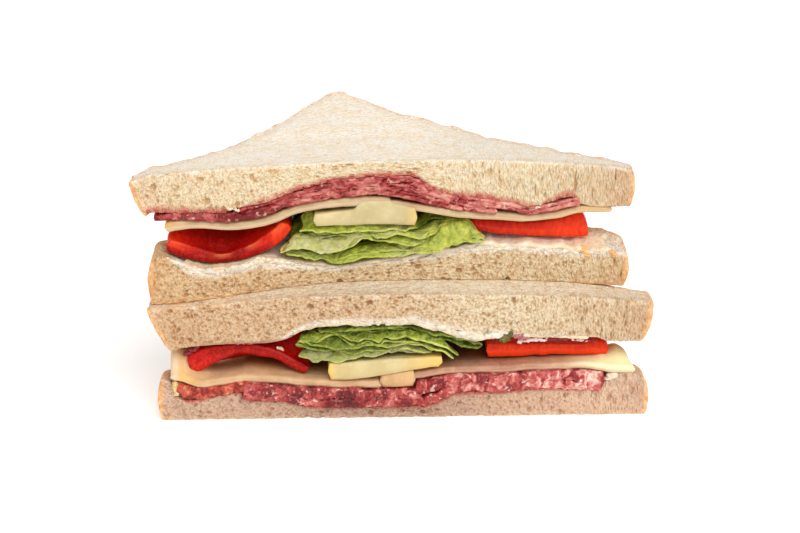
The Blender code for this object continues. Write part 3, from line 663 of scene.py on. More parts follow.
def bread(
    name, half, inner, outer, face_up, finish, seed, drawn, darker_tan, stain, rind, setback=None, large=(),
    face_holes=0, swell=0.0, sag=None, lip=0.0, face_share=1.0, hem=None,
):
    """A slice like the part's, with a rough cut full of holes and a crust that is rounded off.

    inner and outer are its two faces, each with its left and right end and its height(x, depth), and
    face_up says whether the outer one is on top. drawn(x) is how far its crumb is drawn out upwards,
    the next profile how much darker its crumb is painted, a painted shade across the cut that adds to
    browning near the crust, stain(x) how far in its inner edge is coloured by what it lies on, rind
    how wide its crust looks, and setback(x) how far its cut stands behind the half's. large has big
    holes as (x, z, radius across, radius upwards). Its outer face has face_holes pits, waves by swell
    and differs from crumb by face_share, and lip is how far the crust stands up there. sag(x) is how
    far its inner face hangs down behind the cut, and hem(x) how far its outer edge is coloured like the
    crust.
    """
    rng = np.random.default_rng(seed)
    left, right, inner_height = inner
    outer_height = outer[2]
    u = np.linspace(0.0, 1.0, int((right - left) / STATION_STEP))[:, None]

    def front(x):
        return half.cut(x) + (setback(x) if setback else 0.0)

    def grid(left, right, height, is_face):
        x = mix(left, right, u)
        from_end = np.clip(np.minimum(x - left, right - x) / END_ROUND, 0.0, 1.0)
        blunt = END_DEPTH + END_ROUND * np.sqrt(1.0 - (1.0 - from_end) ** 2)
        reach = np.where(from_end < 1.0, np.minimum(half.reach(x), blunt), half.reach(x))
        depth = depth_rows(reach)
        x = x + 0 * depth
        y = half.cut(x) + depth
        if setback:
            y = y + setback(x) * (1 - depth / reach)
        from_leg, from_tip = (reach - depth) * LEG_SLANT, np.minimum(x - left, right - x)
        crust = np.maximum(np.exp(-from_leg / rind), np.exp(-from_tip / TIP_RIND))
        z = height(x, depth)
        if sag and not is_face:
            z = z - sag(x) * smooth(depth / 4.0) * (1.0 - half.share(x, depth))
        if lip and is_face:
            uneven = 0.65 + 0.6 * noise(at(x, y), 4.0, seed)
            ridge = np.exp(-(((from_leg - LIP_INSET) / LIP_WIDTH) ** 2))
            z = z + lip * uneven * ridge * smooth(depth / 3.0)
        inside = np.minimum(from_leg, from_tip)
        return np.stack([x, y, z, depth, inside, 0 * x + is_face, crust, 0 * x], axis=2)

    outer_grid, inner_grid = grid(*outer, 1.0), grid(*inner, 0.0)
    top, bottom = (outer_grid, inner_grid) if face_up else (inner_grid, outer_grid)
    points, faces = loft(top, bottom, WALL_ROWS, CRUST_BULGE)
    depth, inside = points[:, DEPTH].copy(), points[:, INSIDE].copy()
    at_cut = np.exp(-depth / CUT_FADE)
    at_crust = np.exp(-inside / CRUST_FADE)
    face = points[:, FACE] * (1 - at_cut)

    rounded = np.maximum(at_crust, mix(0.25, 0.7, points[:, FACE]) * at_cut)
    relax(points, faces, 0.5 * rounded, ROUNDING_TIMES)
    normals = normals_of(points, faces)
    height = points[:, 2].min(), points[:, 2].max()
    grain = grain_of(points, drawn, sum(height) / 2)
    rough = bumps(seed, (0.2, points, 7.0), (0.2, grain, 2.0), (0.2, grain, 1.0))
    wavy = swell * bumps(seed + 3, (0.3, points, 14.0), (0.1, grain, 1.6))
    crusty = bumps(seed + 5, (0.35, points, 6.0), (0.15, points, (3.0, 3.0, 1.6)))
    moved = mix(wavy * face, rough, at_cut)
    moved = mix(moved, crusty, at_crust)
    points[:, :3] += normals * moved[:, None]

    holes = [
        holes_in(rng, FINE_HOLES, (left, right), height, FINE_RADII, drawn, front),
        holes_in(rng, COARSE_HOLES, (left, right), height, COARSE_RADII, drawn, front),
    ]
    if large:
        x, z, across, upwards = np.array(large, float).T
        inwards, deep = 0 * x + LARGE_HOLE_REACH, 0 * x + LARGE_HOLE_DEPTH
        holes.append(np.stack([x, front(x), z, across, inwards, upwards, deep], axis=1))
    press(points, normals, np.concatenate(holes))
    if face_holes:
        x = rng.uniform(left, right, face_holes)
        back = rng.uniform(*PIT_PLACES, face_holes)
        radius = rng.uniform(*PIT_RADII, face_holes)
        across = radius * rng.uniform(*PIT_STRETCH, face_holes)
        place = [x, half.cut(x) + back, outer_height(x, back)]
        press(points, normals, np.stack([*place, across, radius, radius, PIT_DEPTH * radius], axis=1))

    x = points[:, 0]
    thick = np.abs(outer_height(x, 0.0) - inner_height(x, 0.0))
    stained = np.clip(1.5 * (1.0 - points[:, FACE] * thick / np.maximum(stain(x), 0.01)), 0.0, 1.0)
    points[:, STAIN] = stained * np.clip(stain(x), 0.0, 1.0) * np.exp(-depth / 40.0)
    if hem:
        at_hem = hem(x) * np.exp(-(1.0 - points[:, FACE]) * thick / 1.1) * np.exp(-depth / 2.0)
        points[:, CRUST] = np.maximum(points[:, CRUST], at_hem)
    # Painted shade across the cut by x, with real browning added near the crust and the ends.
    points[:, TAN_AND_SHADE] = np.clip(darker_tan(x) + 0.5 * np.exp(-inside / 5.0 - depth / 4.0), 0.0, 1.0)
    points[:, FACE] = face_share * mix(0.6 * points[:, FACE] ** 9, points[:, FACE], smooth(depth / 6.0))
    points[:, 2] = np.maximum(points[:, 2], FLOOR_CLEARANCE)
    made = piece(name + "_crumb", name, finish, [(points, faces)], BREAD_FIELDS)
    layer = made.data.attributes.new("grain", "FLOAT_VECTOR", "POINT")
    layer.data.foreach_set("vector", grain.astype(np.float32).ravel())


def breads():
    """The four slices. The crumb is drawn out upwards where it is thick and squashed where it is thin."""
    squashed = profile((-84, 1.5), (-50, 1.2), (-30, 0.7), (-10, 0.5), (10, 0.5), (24, 2.2), (76, 3.6))
    even = profile((-84, 1.1), (-20, 0.9), (20, 0.9), (50, 1.5), (80, 2.4))
    # Each slice's darkening profile and colour below paint shade on its cut where less light reaches it, with
    # some real browning near the crust.
    pink, cream = rgb(200, 92, 78), rgb(255, 244, 230)
    dull_face = rgb(240, 218, 182), rgb(226, 198, 156), rgb(200, 160, 112)
    bread(
        "bread_top", upper, (-78.0, 76.0, top_inside), (-82.3, 76.6, top_outside),
        face_up=True, finish=bread_finish(
            "crumb_top", rgb(254, 243, 212), rgb(214, 176, 126), rgb(232, 206, 194),
            (rgb(255, 248, 236), rgb(255, 239, 216), rgb(234, 200, 156)), pink,
        ),
        seed=1, drawn=squashed,
        darker_tan=profile((-84, 0.1), (-50, 0.1), (-20, 0), (40, 0), (60, 0.25), (76, 0.5)),
        stain=profile(
            (-76, 3), (-66, 3), (-56, 2.2), (-48, 0.6), (-42, 2.2), (-20, 2), (10, 2.2), (26, 2.8),
            (40, 2.8), (46, 0.8), (50, 2.4), (58, 3), (60, 0),
        ),
        rind=2.5, face_holes=240, swell=1.0, lip=1.0,
        large=((-60.5, 78.4, 1.3, 0.7), (-58.5, 71.0, 0.9, 1.2), (-44.5, 78.2, 0.8, 1.2)),
    )
    bread(
        "bread_upper_base", upper, (-76.4, 75.4, upper_base_inside), (-77.2, 74.6, upper_base_outside),
        face_up=False, finish=bread_finish(
            "crumb_second", rgb(254, 240, 206), rgb(197, 156, 108), rgb(236, 208, 180), dull_face, cream,
        ),
        seed=2, drawn=even,
        darker_tan=profile((-78, 0.55), (-50, 0.55), (-20, 0.3), (0, 0.2), (60, 0.15), (70, 0.3)),
        stain=profile(
            (-72, 0), (-64, 3), (-54, 2.6), (-36, 3.5), (-28, 2), (0, 1), (30, 2), (66, 2),
        ),
        rind=1.8, setback=UPPER_BASE_SETBACK,
        hem=profile((-78, 0.9), (-62, 0.8), (-44, 0.5), (-34, 0), (50, 0), (60, 0.6), (76, 0.9)),
    )
    # Its outer face colours are paler, painted light on the band of it that the slice above shades.
    bread(
        "bread_lower_top", lower, (-71.5, 79.4, lower_top_inside), (-78.2, 82.2, lower_top_outside),
        face_up=True, finish=bread_finish(
            "crumb_third", rgb(255, 242, 210), rgb(194, 156, 110), rgb(236, 212, 198),
            (rgb(255, 248, 230), rgb(255, 236, 206), rgb(214, 176, 128)), cream,
        ),
        seed=3, drawn=even,
        darker_tan=profile((-78, 0.9), (-20, 0.7), (0, 0.6), (30, 0.1), (52, 0.2), (64, 0.5)),
        stain=profile((-40, 0), (-30, 1.5), (0, 2), (12, 2.6), (32, 2.6), (40, 1), (60, 0.5)),
        rind=2.0, face_share=0.6,
        sag=profile((-76, 0), (-66, 1.5), (-40, 2.5), (-33, 2.5), (-28, 0)),
        hem=profile((-78, 0.5), (-50, 0.3), (-40, 0)),
    )
    bread(
        "bread_base", lower, (-74.6, 80.6, base_inside), (-74.8, 81.0, base_outside),
        face_up=False, finish=bread_finish(
            "crumb_base", rgb(246, 214, 184), rgb(200, 156, 124), rgb(212, 204, 210), dull_face, pink,
        ),
        seed=4, drawn=even,
        darker_tan=profile((-75, 0), (-67, 0.4), (-45, 0.55), (-20, 0.9), (10, 0.9), (40, 0.3), (80, 0)),
        stain=profile((-69, 0), (-66, 1.2), (-50, 0.8), (-20, 1.4), (20, 1.4), (60, 1), (67, 0)),
        rind=2.4,
        hem=profile((-75, 0.6), (-68, 0.1), (-60, 0), (70, 0), (80, 0.5)),
    )


# ------------------------------ fillings
FRONT_ROWS = np.array([0.0, 0.25, 0.6, 1.1, 1.7, 2.5, 3.5, 5.0, 7.0, 10.0])
FRONT_ROOM = 12.0  # a sheet that is less deep has its front rows closer together
BACK_ROWS, BACK_SPACING = 7, 1.3
BLUNT = 0.15  # how much of its thickness a sheet keeps at its rim


def line_through(points, stations):
    """The smooth line z(x) through the points, at evenly spaced x."""
    xs = np.linspace(points[0][0], points[-1][0], stations)
    return np.stack([xs, profile(*points)(xs)], axis=1)


def line_along(points):
    """The points and one more between each two, on a curve that may also turn upwards."""
    points = np.array(points, float)
    slopes = np.gradient(points, axis=0)
    halfway = (points[:-1] + points[1:]) / 2 + (slopes[:-1] - slopes[1:]) / 8
    made = np.empty((2 * len(points) - 1, 2))
    made[0::2], made[1::2] = points, halfway
    return made


def both_sides(middle, thick):
    """The upper and lower line of something this thick along the middle line."""
    along = np.gradient(middle, axis=0)
    across = np.stack([-along[:, 1], along[:, 0]], axis=1)
    across /= np.linalg.norm(across, axis=1)[:, None]
    half_thick = np.broadcast_to(thick, len(middle))[:, None] / 2
    return middle + across * half_thick, middle - across * half_thick


def sheet(
    half, top, bottom, front=0.0, inset=CRUST_SETBACK, most=TO_THE_CRUST, ragged=None, sway=None,
    rounding=0.5, wall_rows=3, columns=None,
):
    """A closed shell between two drawn lines, run back like the part's fillings.

    front is how far it stands out of the cut, inset how far from the crust it ends, and most(x) or most
    its greatest depth. ragged(x) is how far the front edge stands out further, sway(x, depth, station
    share, side) how far the sheet rises, rounding how much of its thickness rounds its rim, and
    columns(x, depth, side) gives further values. The side is 0 on top and 1 below.
    """
    middle = (top[:, :1] + bottom[:, :1]) / 2
    own_depth = most(middle) if callable(most) else most
    back = np.clip(half.reach(middle) - inset, SHALLOWEST, own_depth)
    station = np.linspace(0.0, 1.0, len(top))[:, None]
    edge = front + (ragged(middle) if ragged else 0.0)
    room = back + edge
    near = FRONT_ROWS[None, :] * np.minimum(1.0, room / FRONT_ROOM)
    share = np.linspace(0.0, 1.0, BACK_ROWS + 1)[None, 1:] ** BACK_SPACING
    depth = np.concatenate([near, mix(near[:, -1:], room, share)], axis=1) - edge
    set_back = max(-front, 0.0)

    length = np.linalg.norm(np.diff((top + bottom) / 2, axis=0), axis=1)
    along = np.concatenate([[0.0], np.cumsum(length)])[:, None]
    from_rim = np.minimum(np.minimum(depth + edge, back - depth), np.minimum(along, along[-1:] - along))
    thick = np.linalg.norm(top - bottom, axis=1)[:, None]
    round_by = np.maximum(rounding * thick, 0.05)
    near_rim = 1.0 - np.clip(from_rim / round_by, 0.0, 1.0)
    pinch = 0.5 * (1.0 - np.sqrt(np.maximum(1.0 - near_rim**2, 0.0)) * (1.0 - BLUNT) - BLUNT)

    def face(line, other, side):
        x = mix(line[:, :1], other[:, :1], pinch)
        z = mix(line[:, 1:], other[:, 1:], pinch)
        if sway:
            z = z + sway(x, depth, station, side)
        z = z + half.settle(x, z, np.maximum(depth, 0.0)) - half.settle(x, z, set_back)
        made = [x, half.cut(x) + depth, z]
        if columns:
            made += [0 * x + column for column in columns(x, depth, side)]
        return np.stack(made, axis=2)

    return loft(face(top, bottom, 0.0), face(bottom, top, 1.0), wall_rows)


SALAMI_STEP, CHEESE_STEP, LEAF_STEP, SPREAD_STEP = 0.4, 0.7, 0.35, 0.45  # between their stations

SALAMI_PROUD, SALAMI_WAVE = 0.3, 0.16
LAYER_OVERLAP, LAYER_STEP = 1.3, 0.35
SALAMI_TONE = {
    "upper": profile(
        (-75, 0.2), (-56, 0.3), (-48, 0.5), (-38, 0.3), (-24, 0.09), (0, 0.08), (20, 0), (46, -0.02),
        (56, -0.14),
    ),
    "lower": profile(
        (-70, 0), (-45, 0.05), (-20, 0.14), (8, 0.12), (24, -0.05), (52, -0.05), (60, -0.2), (63, -0.45),
        (66, -0.3), (67.3, 0),
    ),
}


def roughen(shell, half, seed, lumps, crevice, grain):
    """Lumps all over and thin dark crevices, as long as grain says, in its front."""
    points, faces = shell
    depth = points[:, 1] - half.cut(points[:, 0])
    at_front = np.exp(-np.maximum(depth, 0.0) / 1.2)
    normals = normals_of(points, faces)
    out = lumps * (noise(points, 3.2, seed) + 0.5 * noise(points, 1.5, seed + 1))
    line = noise(points, grain, seed + 2)
    broken = smooth(noise(points, 5.0, seed + 3) * 2.0 + 0.3)
    out -= crevice * broken * np.exp(-((line / 0.13) ** 2))
    points[:, :3] += normals * (out * mix(0.35, 1.0, at_front))[:, None]
    return points, faces


def salami(
    half, number, *points, finish, thick=SALAMI_THICK, front=0.6, stations=11, slices=1, lumps=0.22,
    crevice=0.08, grain=(6.0, 3.0, 1.3), over=3 * GAP, lift=GAP / 2,
):
    """The node's slices, one over another, each with its own ragged edge.

    Together they are thicker than the part's by over and lie higher by lift, so that they press into
    their neighbours across the gap that the part leaves there.
    """
    name = f"salami_{half.name}_{number}"
    knots = line_through(points, stations)
    middle = line_through(points, max(40, int((points[-1][0] - points[0][0]) / SALAMI_STEP)))
    whole = np.interp(middle[:, 0], knots[:, 0], np.broadcast_to(thick, stations)) + over
    tone = SALAMI_TONE[half.name]
    overlap = LAYER_OVERLAP if slices > 1 else 1.0
    shells = []
    for k in range(slices):
        seed = 100 * number + 10 * k + (7 if half.turned_over else 3)
        one = whole / slices
        offset = ((k - (slices - 1) / 2) * one + lift)[:, None]
        centre = middle + (both_sides(middle, 2.0)[0] - middle) * offset
        top, bottom = both_sides(centre, one * (overlap + 0.1 * along_x(middle[:, 0], 4.0, seed)))

        def ragged(x, seed=seed):
            return 0.5 * along_x(x, 4.0, seed + 1) + 0.4 * along_x(x, 1.4, seed + 2)

        def wave(x, depth, station, side, seed=seed):
            own = noise(at(x, depth, 7.0 * side), 1.8, seed + 5)
            return SALAMI_WAVE * noise(at(x, depth, seed), 2.2, seed) + SALAMI_WAVE * own

        shell = sheet(
            half, top, bottom, front + SALAMI_PROUD - LAYER_STEP * (k % 2), SALAMI_SETBACK,
            ragged=ragged, sway=wave, rounding=0.2, wall_rows=6, columns=lambda x, depth, side: [tone(x)],
        )
        shells.append(roughen(shell, half, seed, lumps, crevice, grain))
    piece(name + "_meat", name, finish, shells, ("tone",))


def salami_slices():
    finish = salami_finish(
        "salami_upper_meat", (0.6, 0.7, 1.1), rgb(238, 186, 166), rgb(222, 152, 136), rgb(206, 124, 110),
        rgb(188, 96, 90), rgb(160, 44, 42), rgb(118, 8, 10),
    )
    salami(
        upper, 1, (-75.4, 66.2), (-67, 66.4), (-60, 66), (-53, 65.3), (-47, 65.4), (-41, 66.5),
        (-33, 68.9), (-25, 70.7), (-8, 72.2), (-3, 72.4),
        thick=(1.2, 1.2, 1.5, 2.0, 1.6, 1.2, 1.2, 1.2, 1.2, 1.2, 1.2), finish=finish,
    )
    salami(
        upper, 2, (-50.5, 66.5), (-46, 67.4), (-41, 68.2), (-35, 70.2), (-28, 71.9), (-18, 73.2),
        (-6, 73.7), (4, 73.2), (9, 71.4), (13.5, 69.5), slices=2, finish=finish,
    )
    salami(
        upper, 3, (-28.8, 73.5), (-22, 74.7), (-12, 75.5), (2, 75.9), (6.5, 75.1), (10.5, 72.5),
        (15, 70.4), (21, 68.6), slices=2, finish=finish,
    )
    salami(
        upper, 4, (-5, 72), (3, 71), (9, 69.5), (15, 67.8), (21, 66.6), (33, 65.6),
        slices=2, finish=finish,
    )
    salami(
        upper, 5, (20.4, 68.5), (30, 67.5), (36.5, 66.4), (43.6, 65), (50, 65.9), (59.4, 67.8),
        slices=2, finish=finish,
    )

    finish = salami_finish(
        "salami_lower_meat", (0.9, 0.8, 0.7), rgb(248, 212, 194), rgb(228, 156, 144), rgb(200, 104, 94),
        rgb(174, 62, 58), rgb(138, 24, 26), rgb(98, 8, 14),
    )
    browned = salami_finish(
        "salami_browned_meat", (0.9, 0.8, 0.7), rgb(242, 190, 150), rgb(222, 134, 100), rgb(202, 94, 64),
        rgb(178, 62, 38), rgb(146, 34, 20), rgb(96, 18, 10),
    )
    chunky = {"lumps": 0.34, "crevice": 0.3, "grain": (2.2, 3.0, 4.0), "over": 5 * GAP, "lift": 0.0}
    salami(
        lower, 1, (-69.8, 10.2), (-65.5, 8.9), (-61, 9.2), (-56, 10.1), (-50, 10.9), (-45.8, 11.2),
        thick=np.linspace(2.6, 2.0, 7), stations=7, finish=browned, **chunky,
    )
    salami(
        lower, 2, (-48.8, 8.4), (-36.8, 7.6), (-30.4, 6.5), (-21.5, 5.6), (-12.2, 5.3),
        thick=1.5, front=1.2, finish=finish, **chunky,
    )
    salami(
        lower, 3, (-48.4, 10.6), (-36, 10), (-28, 9.3), (-20, 8.4), (0, 8.1), (8.5, 8.6),
        thick=2.5, front=1.4, finish=finish, **chunky,
    )
    salami(
        lower, 4, (-12.5, 5.4), (4, 5.4), (9, 5.9), (14, 7.3), (19, 9.6), (22.5, 10),
        thick=1.5, front=1.2, finish=finish, **chunky,
    )
    salami(
        lower, 5, (6.6, 10.3), (14, 11.5), (20, 12.7), (33, 12.7), (45, 13.3), (50, 13.9),
        (58, 13.7), (67.3, 12.6), thick=2.5, front=1.1, finish=finish, **chunky,
    )
    salami(
        lower, 6, (20.6, 10.3), (34, 10), (46.7, 10.9), (59.6, 10.7), (66.3, 9.9),
        thick=1.4, front=0.8, finish=finish, **chunky,
    )


def cheese(
    name, half, top, bottom, seed, yellow, finish, rim=1.0, pale_end=None, curl=None, fade=40.0, **options,
):
    """A slice or stick, softly waved, with rounded edges.

    yellow(x) fades over fade mm behind the cut, rim is how much lighter its lower side is painted, a
    painted highlight on its lower edge, pale_end(x) how pale it is at an end, and curl(x) how far it
    curls up behind the cut.
    """
    stations = max(16, int((top[-1][0] - top[0][0]) / CHEESE_STEP))

    def columns(x, depth, side):
        shaded = smooth((depth - 3.0) / 8.0) * smooth((half.reach(x) - depth - 5.0) / 4.0)
        # Painted highlight on the lower side, together with the real pale end.
        highlight_and_pale_end = np.maximum(side * rim, pale_end(x)) if pale_end else side * rim
        return [yellow(x) * np.exp(-np.maximum(depth, 0.0) / fade), highlight_and_pale_end, shaded]

    def wave(x, depth, station, side):
        curled = curl(x) * smooth(depth / 8.0) if curl else 0.0
        return curled + 0.1 * noise(at(x, depth, seed), 4.0, seed)

    shell = sheet(
        half, line_through(top, stations), line_through(bottom, stations), rounding=0.14 + 0.31 * rim,
        ragged=lambda x: 0.3 * along_x(x, 6.0, seed) + 0.1 * along_x(x, 1.5, seed), sway=wave,
        wall_rows=5, columns=columns, **options,
    )
    piece(name + "_soft", name, finish, [shell], ("yellow", "below", "deep"))


def cheeses():
    pale = cheese_finish("cheese_pale", rgb(206, 178, 138), rgb(190, 160, 120), rgb(226, 174, 92))
    finish = cheese_finish("cheese_slice", rgb(214, 176, 134), rgb(198, 156, 114), rgb(238, 188, 96))
    # A copy of the cheese painted redder and darker: painted reddish reflection and painted shade.
    pinkish = cheese_finish("cheese_pinkish", rgb(192, 142, 114), rgb(172, 120, 92), rgb(255, 243, 190))
    stick = cheese_finish("cheese_stick", rgb(212, 198, 150), rgb(198, 180, 130), rgb(242, 200, 100))
    cheese(
        "cheese_upper_left", upper,
        (
            (-72.3, 65.3), (-61, 64.9), (-51.7, 63.7), (-42, 64.7), (-29.6, 68.7), (-20, 70),
            (-10.6, 70.6), (-0.6, 70.3),
        ),
        (
            (-71.8, 61), (-68.5, 61.6), (-61, 62), (-51.7, 60.7), (-42, 61.5), (-29.6, 65.6),
            (-20, 67), (-10.6, 67.2), (-0.6, 66.9),
        ),
        seed=31, finish=pale, yellow=profile((-72.3, 0.7), (-69, 0.25), (-62, 0)),
    )
    cheese(
        "cheese_upper_right", upper,
        (
            (-2, 69.1), (8.5, 67.6), (21.2, 65.4), (34, 64.4), (43.7, 63.6), (53, 64.8), (60, 66.3),
            (65, 66), (70, 65.6),
        ),
        (
            (-2, 66.9), (8.5, 65), (24.5, 62.2), (34, 61.6), (43.7, 61.1), (53.3, 62.3),
            (60.6, 63.9), (70, 63.9),
        ),
        seed=32, finish=pale, yellow=profile((50, 0), (58, 0.15), (66, 0.5)),
    )
    cheese(
        "cheese_lower_left", lower,
        (
            (-71.8, 15.6), (-62.3, 13), (-57.5, 13.9), (-47.9, 15.1), (-36.7, 14.3), (-21.4, 12.9),
            (-4.2, 12.7),
        ),
        (
            (-71.2, 13.4), (-62.3, 10.6), (-57.5, 11.3), (-47.9, 12.4), (-36.7, 11.7), (-21.4, 10.2),
            (-4.2, 9.9),
        ),
        seed=33, finish=finish, yellow=profile((-71, 0), (-69, 0.8), (-65, 0.5), (-59, 0)),
        fade=3.0,
        pale_end=profile((-71, 2), (-69.4, 1.2), (-68.4, 0)),
        most=profile((-71.8, 9), (-64, 14), (-55, 99)),
        curl=profile((-71.8, 9), (-66, 8.5), (-62, 3), (-57, 0)),
    )
    cheese(
        "cheese_lower_right", lower,
        (
            (5.6, 15.3), (20.2, 17.1), (33.1, 17.1), (45.6, 17.8), (60, 18.1), (71, 17.1), (77.2, 16.9),
        ),
        (
            (5.6, 12.8), (20.2, 14.7), (33.1, 14.6), (45.6, 15.4), (60, 15.7), (71, 14.1), (77.2, 13.9),
        ),
        seed=34, finish=pinkish, yellow=profile((36, 0), (52, 0.15), (60, 0.6), (68, 0.95), (77, 1)),
        inset=3.0, most=profile((60, 99), (67, 15), (74, 9), (77.2, 3)),
        curl=profile((63, 0), (68, 2.4), (72, 4), (75, 3), (77.2, 1)),
    )
    cheese(
        "cheese_upper_stick", upper,
        (
            (-25.6, 65.4), (-18, 66), (-12.4, 66.6), (-11, 68.6), (-9.5, 69.4), (-1.5, 69.2), (1, 68),
            (4, 67.4), (7.5, 66.4),
        ),
        ((-25.2, 61.5), (-10, 61.3), (7.5, 60.8)),
        seed=35, finish=stick, yellow=profile((-26, 0.1), (-10, 0), (3, 0), (7.5, 0.5)),
        rim=0.0, front=1.0, most=46.0,
    )
    cheese(
        "cheese_lower_stick_1", lower,
        ((-21.5, 19), (-4, 20), (3, 20.4), (15.6, 20.9)),
        ((-21, 13.4), (-15.3, 13.4), (-4.7, 14.5), (6.4, 16.6), (14.6, 17.5)),
        seed=36, finish=stick, yellow=profile((-21.5, 0.9), (-18, 0.15), (0, 0.1), (6, 0.4), (15, 0.8)),
        rim=0.0, front=1.0, most=46.0,
    )
    cheese(
        "cheese_lower_stick_2", lower,
        ((-4.8, 14.6), (6.6, 16.2)), ((-4.6, 10.5), (6.5, 10.5)),
        seed=37, finish=finish, yellow=profile((-5, 0.1), (6, 0.25)),
        rim=0.0, front=0.6, most=40.0,
    )


PEPPER_SETBACK = 7.0
PEPPER_CLEAR = 0.6  # between a strip and what it lies against


def run_share(half, x, depth, inset, front):
    """How far from its front edge to its back one a filling has run."""
    back = np.clip(half.reach(x) - inset, SHALLOWEST, TO_THE_CRUST)
    return np.clip((depth + front) / (back + front), 0.0, 1.0)


def pepper(name, half, top, bottom, front, seed, finish, painted_light, above=None, below=None, rib=0.0, rise=0.0):
    """A thick glossy strip, cut at the front.

    The brightness pair gives painted light and shade on its upper and on its lower side, each by x,
    from shaded crimson to lit orange red, and rib how much of the pale line behind its upper front edge
    shows. Behind the front it thickens to meet the food that is above(x) and below(x), and its back
    lies higher by rise.
    """
    def gap_beside(x, side):
        if side == 0 and above:
            return np.maximum(above(x) - PEPPER_CLEAR - np.interp(x, *top.T), 0.0)
        if side == 1 and below:
            return np.minimum(below(x) + PEPPER_CLEAR - np.interp(x, *bottom.T), 0.0)
        return 0.0 * x

    def moved(x, depth, station, side):
        back = np.maximum(depth + front, 0.0)
        share = run_share(half, x, depth, PEPPER_SETBACK, front)
        own = 0.15 * noise(at(x, depth, seed), 3.0, seed)
        own = own + 0.12 * noise(at(x, z=seed), 1.3, seed) * smooth(back)
        filled = gap_beside(x, side) * smooth((back - 0.6) / 10.0) * (1 - smooth((share - 0.6) / 0.4))
        return own + filled + rise * smooth(share)

    def columns(x, depth, side):
        back = np.maximum(depth + front, 0.0)
        cut = np.exp(-back / 0.25)
        broken = smooth(0.5 + 2.0 * along_x(x, 2.5, seed + 9))
        ridge = np.exp(-((back - 0.35) / 0.22) ** 2) * (1 - side) * rib * broken
        # The second value is painted light and shade on this side.
        return [cut, painted_light[int(side)](x), ridge]

    shell = sheet(
        half, top, bottom, front, PEPPER_SETBACK, ragged=lambda x: 0.3 * along_x(x, 3.0, seed),
        sway=moved, rounding=0.14, wall_rows=9, columns=columns,
    )
    piece(name + "_flesh", name, finish, [shell], ("cut", "painted_light", "ridge"))


def peppers():
    # Each strip's brightness lines paint light and shade on its upper and lower side.
    finish = pepper_finish()

    def curved(*points):
        return line_along(line_along(line_along(points)))

    def straight(*points):
        return line_through(points, 70)

    top = curved(
        (-71.5, 58.6), (-66.7, 57), (-61.7, 55), (-54.4, 52.6), (-49.2, 54.3), (-44.4, 56),
        (-39.6, 59), (-35.2, 62.6),
    )
    bottom = curved(
        (-72.1, 55), (-68.7, 53), (-64.7, 51.6), (-56.9, 49.8), (-50.2, 50.3), (-42.7, 52.2),
        (-36.2, 55.6), (-32, 60.6),
    )
    pepper(
        "pepper_upper_left", upper, top, bottom, front=-2.0, seed=51, finish=finish,
        painted_light=(
            profile((-72, 0.75), (-66, 0.4), (-60, 0.1), (-52, 0), (-42, 0.4), (-35, 0.8)),
            profile((-72, 0.2), (-56, 0), (-44, 0.15), (-34, 0.7)),
        ),
        rib=0.55, above=UPPER_CHEESE_BOTTOM,
    )
    top = curved(
        (-66.6, 19.4), (-63.8, 22.1), (-57.4, 23.9), (-49.4, 24.3), (-42.4, 23.8), (-38.3, 22.4),
        (-30.4, 18.3), (-27, 15.9),
    )
    bottom = curved(
        (-64.6, 14.8), (-60.8, 16), (-55.9, 19), (-49.5, 21.3), (-43.7, 20.3), (-38.6, 19.4),
        (-33.6, 16.6), (-29, 14.1),
    )
    pepper(
        "pepper_lower_left", lower, top, bottom, front=-3.0, seed=52, finish=finish,
        painted_light=(
            profile((-66, 0.4), (-62, 0.35), (-57, 0.15), (-27, 0.2)),
            profile((-66, 0.55), (-62, 0.5), (-56, 0.28), (-27, 0.2)),
        ),
        above=LOWER_TOP_INSIDE, below=LOWER_CHEESE_TOP,
    )
    pepper(
        "pepper_upper_right", upper,
        straight((24.8, 60.8), (34.3, 60), (44, 59.5), (50, 60), (56, 61.2), (61.8, 62.5)),
        straight((25.1, 57), (34.3, 55.7), (49, 54.7), (64, 54)),
        front=-5.0, seed=53, finish=finish,
        painted_light=(profile((24, 0.4), (63, 0.8)), profile((24, 0.6), (63, 0.9))),
    )
    pepper(
        "pepper_lower_right", lower,
        straight((29.5, 22.8), (40.3, 22.7), (60.5, 22.6), (65.5, 23.4), (67.6, 23.2), (69.2, 22.2)),
        straight((29.8, 18.2), (40.3, 18.4), (53.2, 18.9), (68.9, 18.6)),
        front=-5.0, seed=54, finish=finish,
        painted_light=(profile((29, 0.85), (69, 0.75)), profile((29, 1.2), (69, 1))),
        rise=1.5,
    )


LEAF_FRONT = 0.4
LEAF_SHOWN = 0.75  # how thick a leaf looks next to the part's


def leaf(half, number, *points, wave, finish, lean=0.3, folds=((0.0, 0.0),), **lines):
    """A lettuce leaf with the part's ripple, given by wave: how high, how many and where it starts.

    The further values are the knots of lines over x. Behind the front edge the face rises by rise.
    shape raises the front edge and stand brings it forward. pale makes the face whitish and deep
    darker with painted shade, lime is how yellow its edge is, curl how much the edge crinkles, and fill
    how far the back of the first fold rises to the food above it. lean is how much the ribs slant. The
    leaf lies in folds, each this far below its line and this far back.
    """
    name = f"lettuce_{half.name}_{number}"
    seed = 60 + number + (10 if half.turned_over else 0)
    lines = {key: profile(*knots) for key, knots in lines.items()}
    shells = []
    for drop, set_back in folds:
        shells.append(one_fold(half, points, seed, drop, set_back, wave, lean, lines))
        lines.pop("fill", None)
        seed += 40
    piece(name + "_frill", name, finish, shells, ("pale", "edge", "deep"))


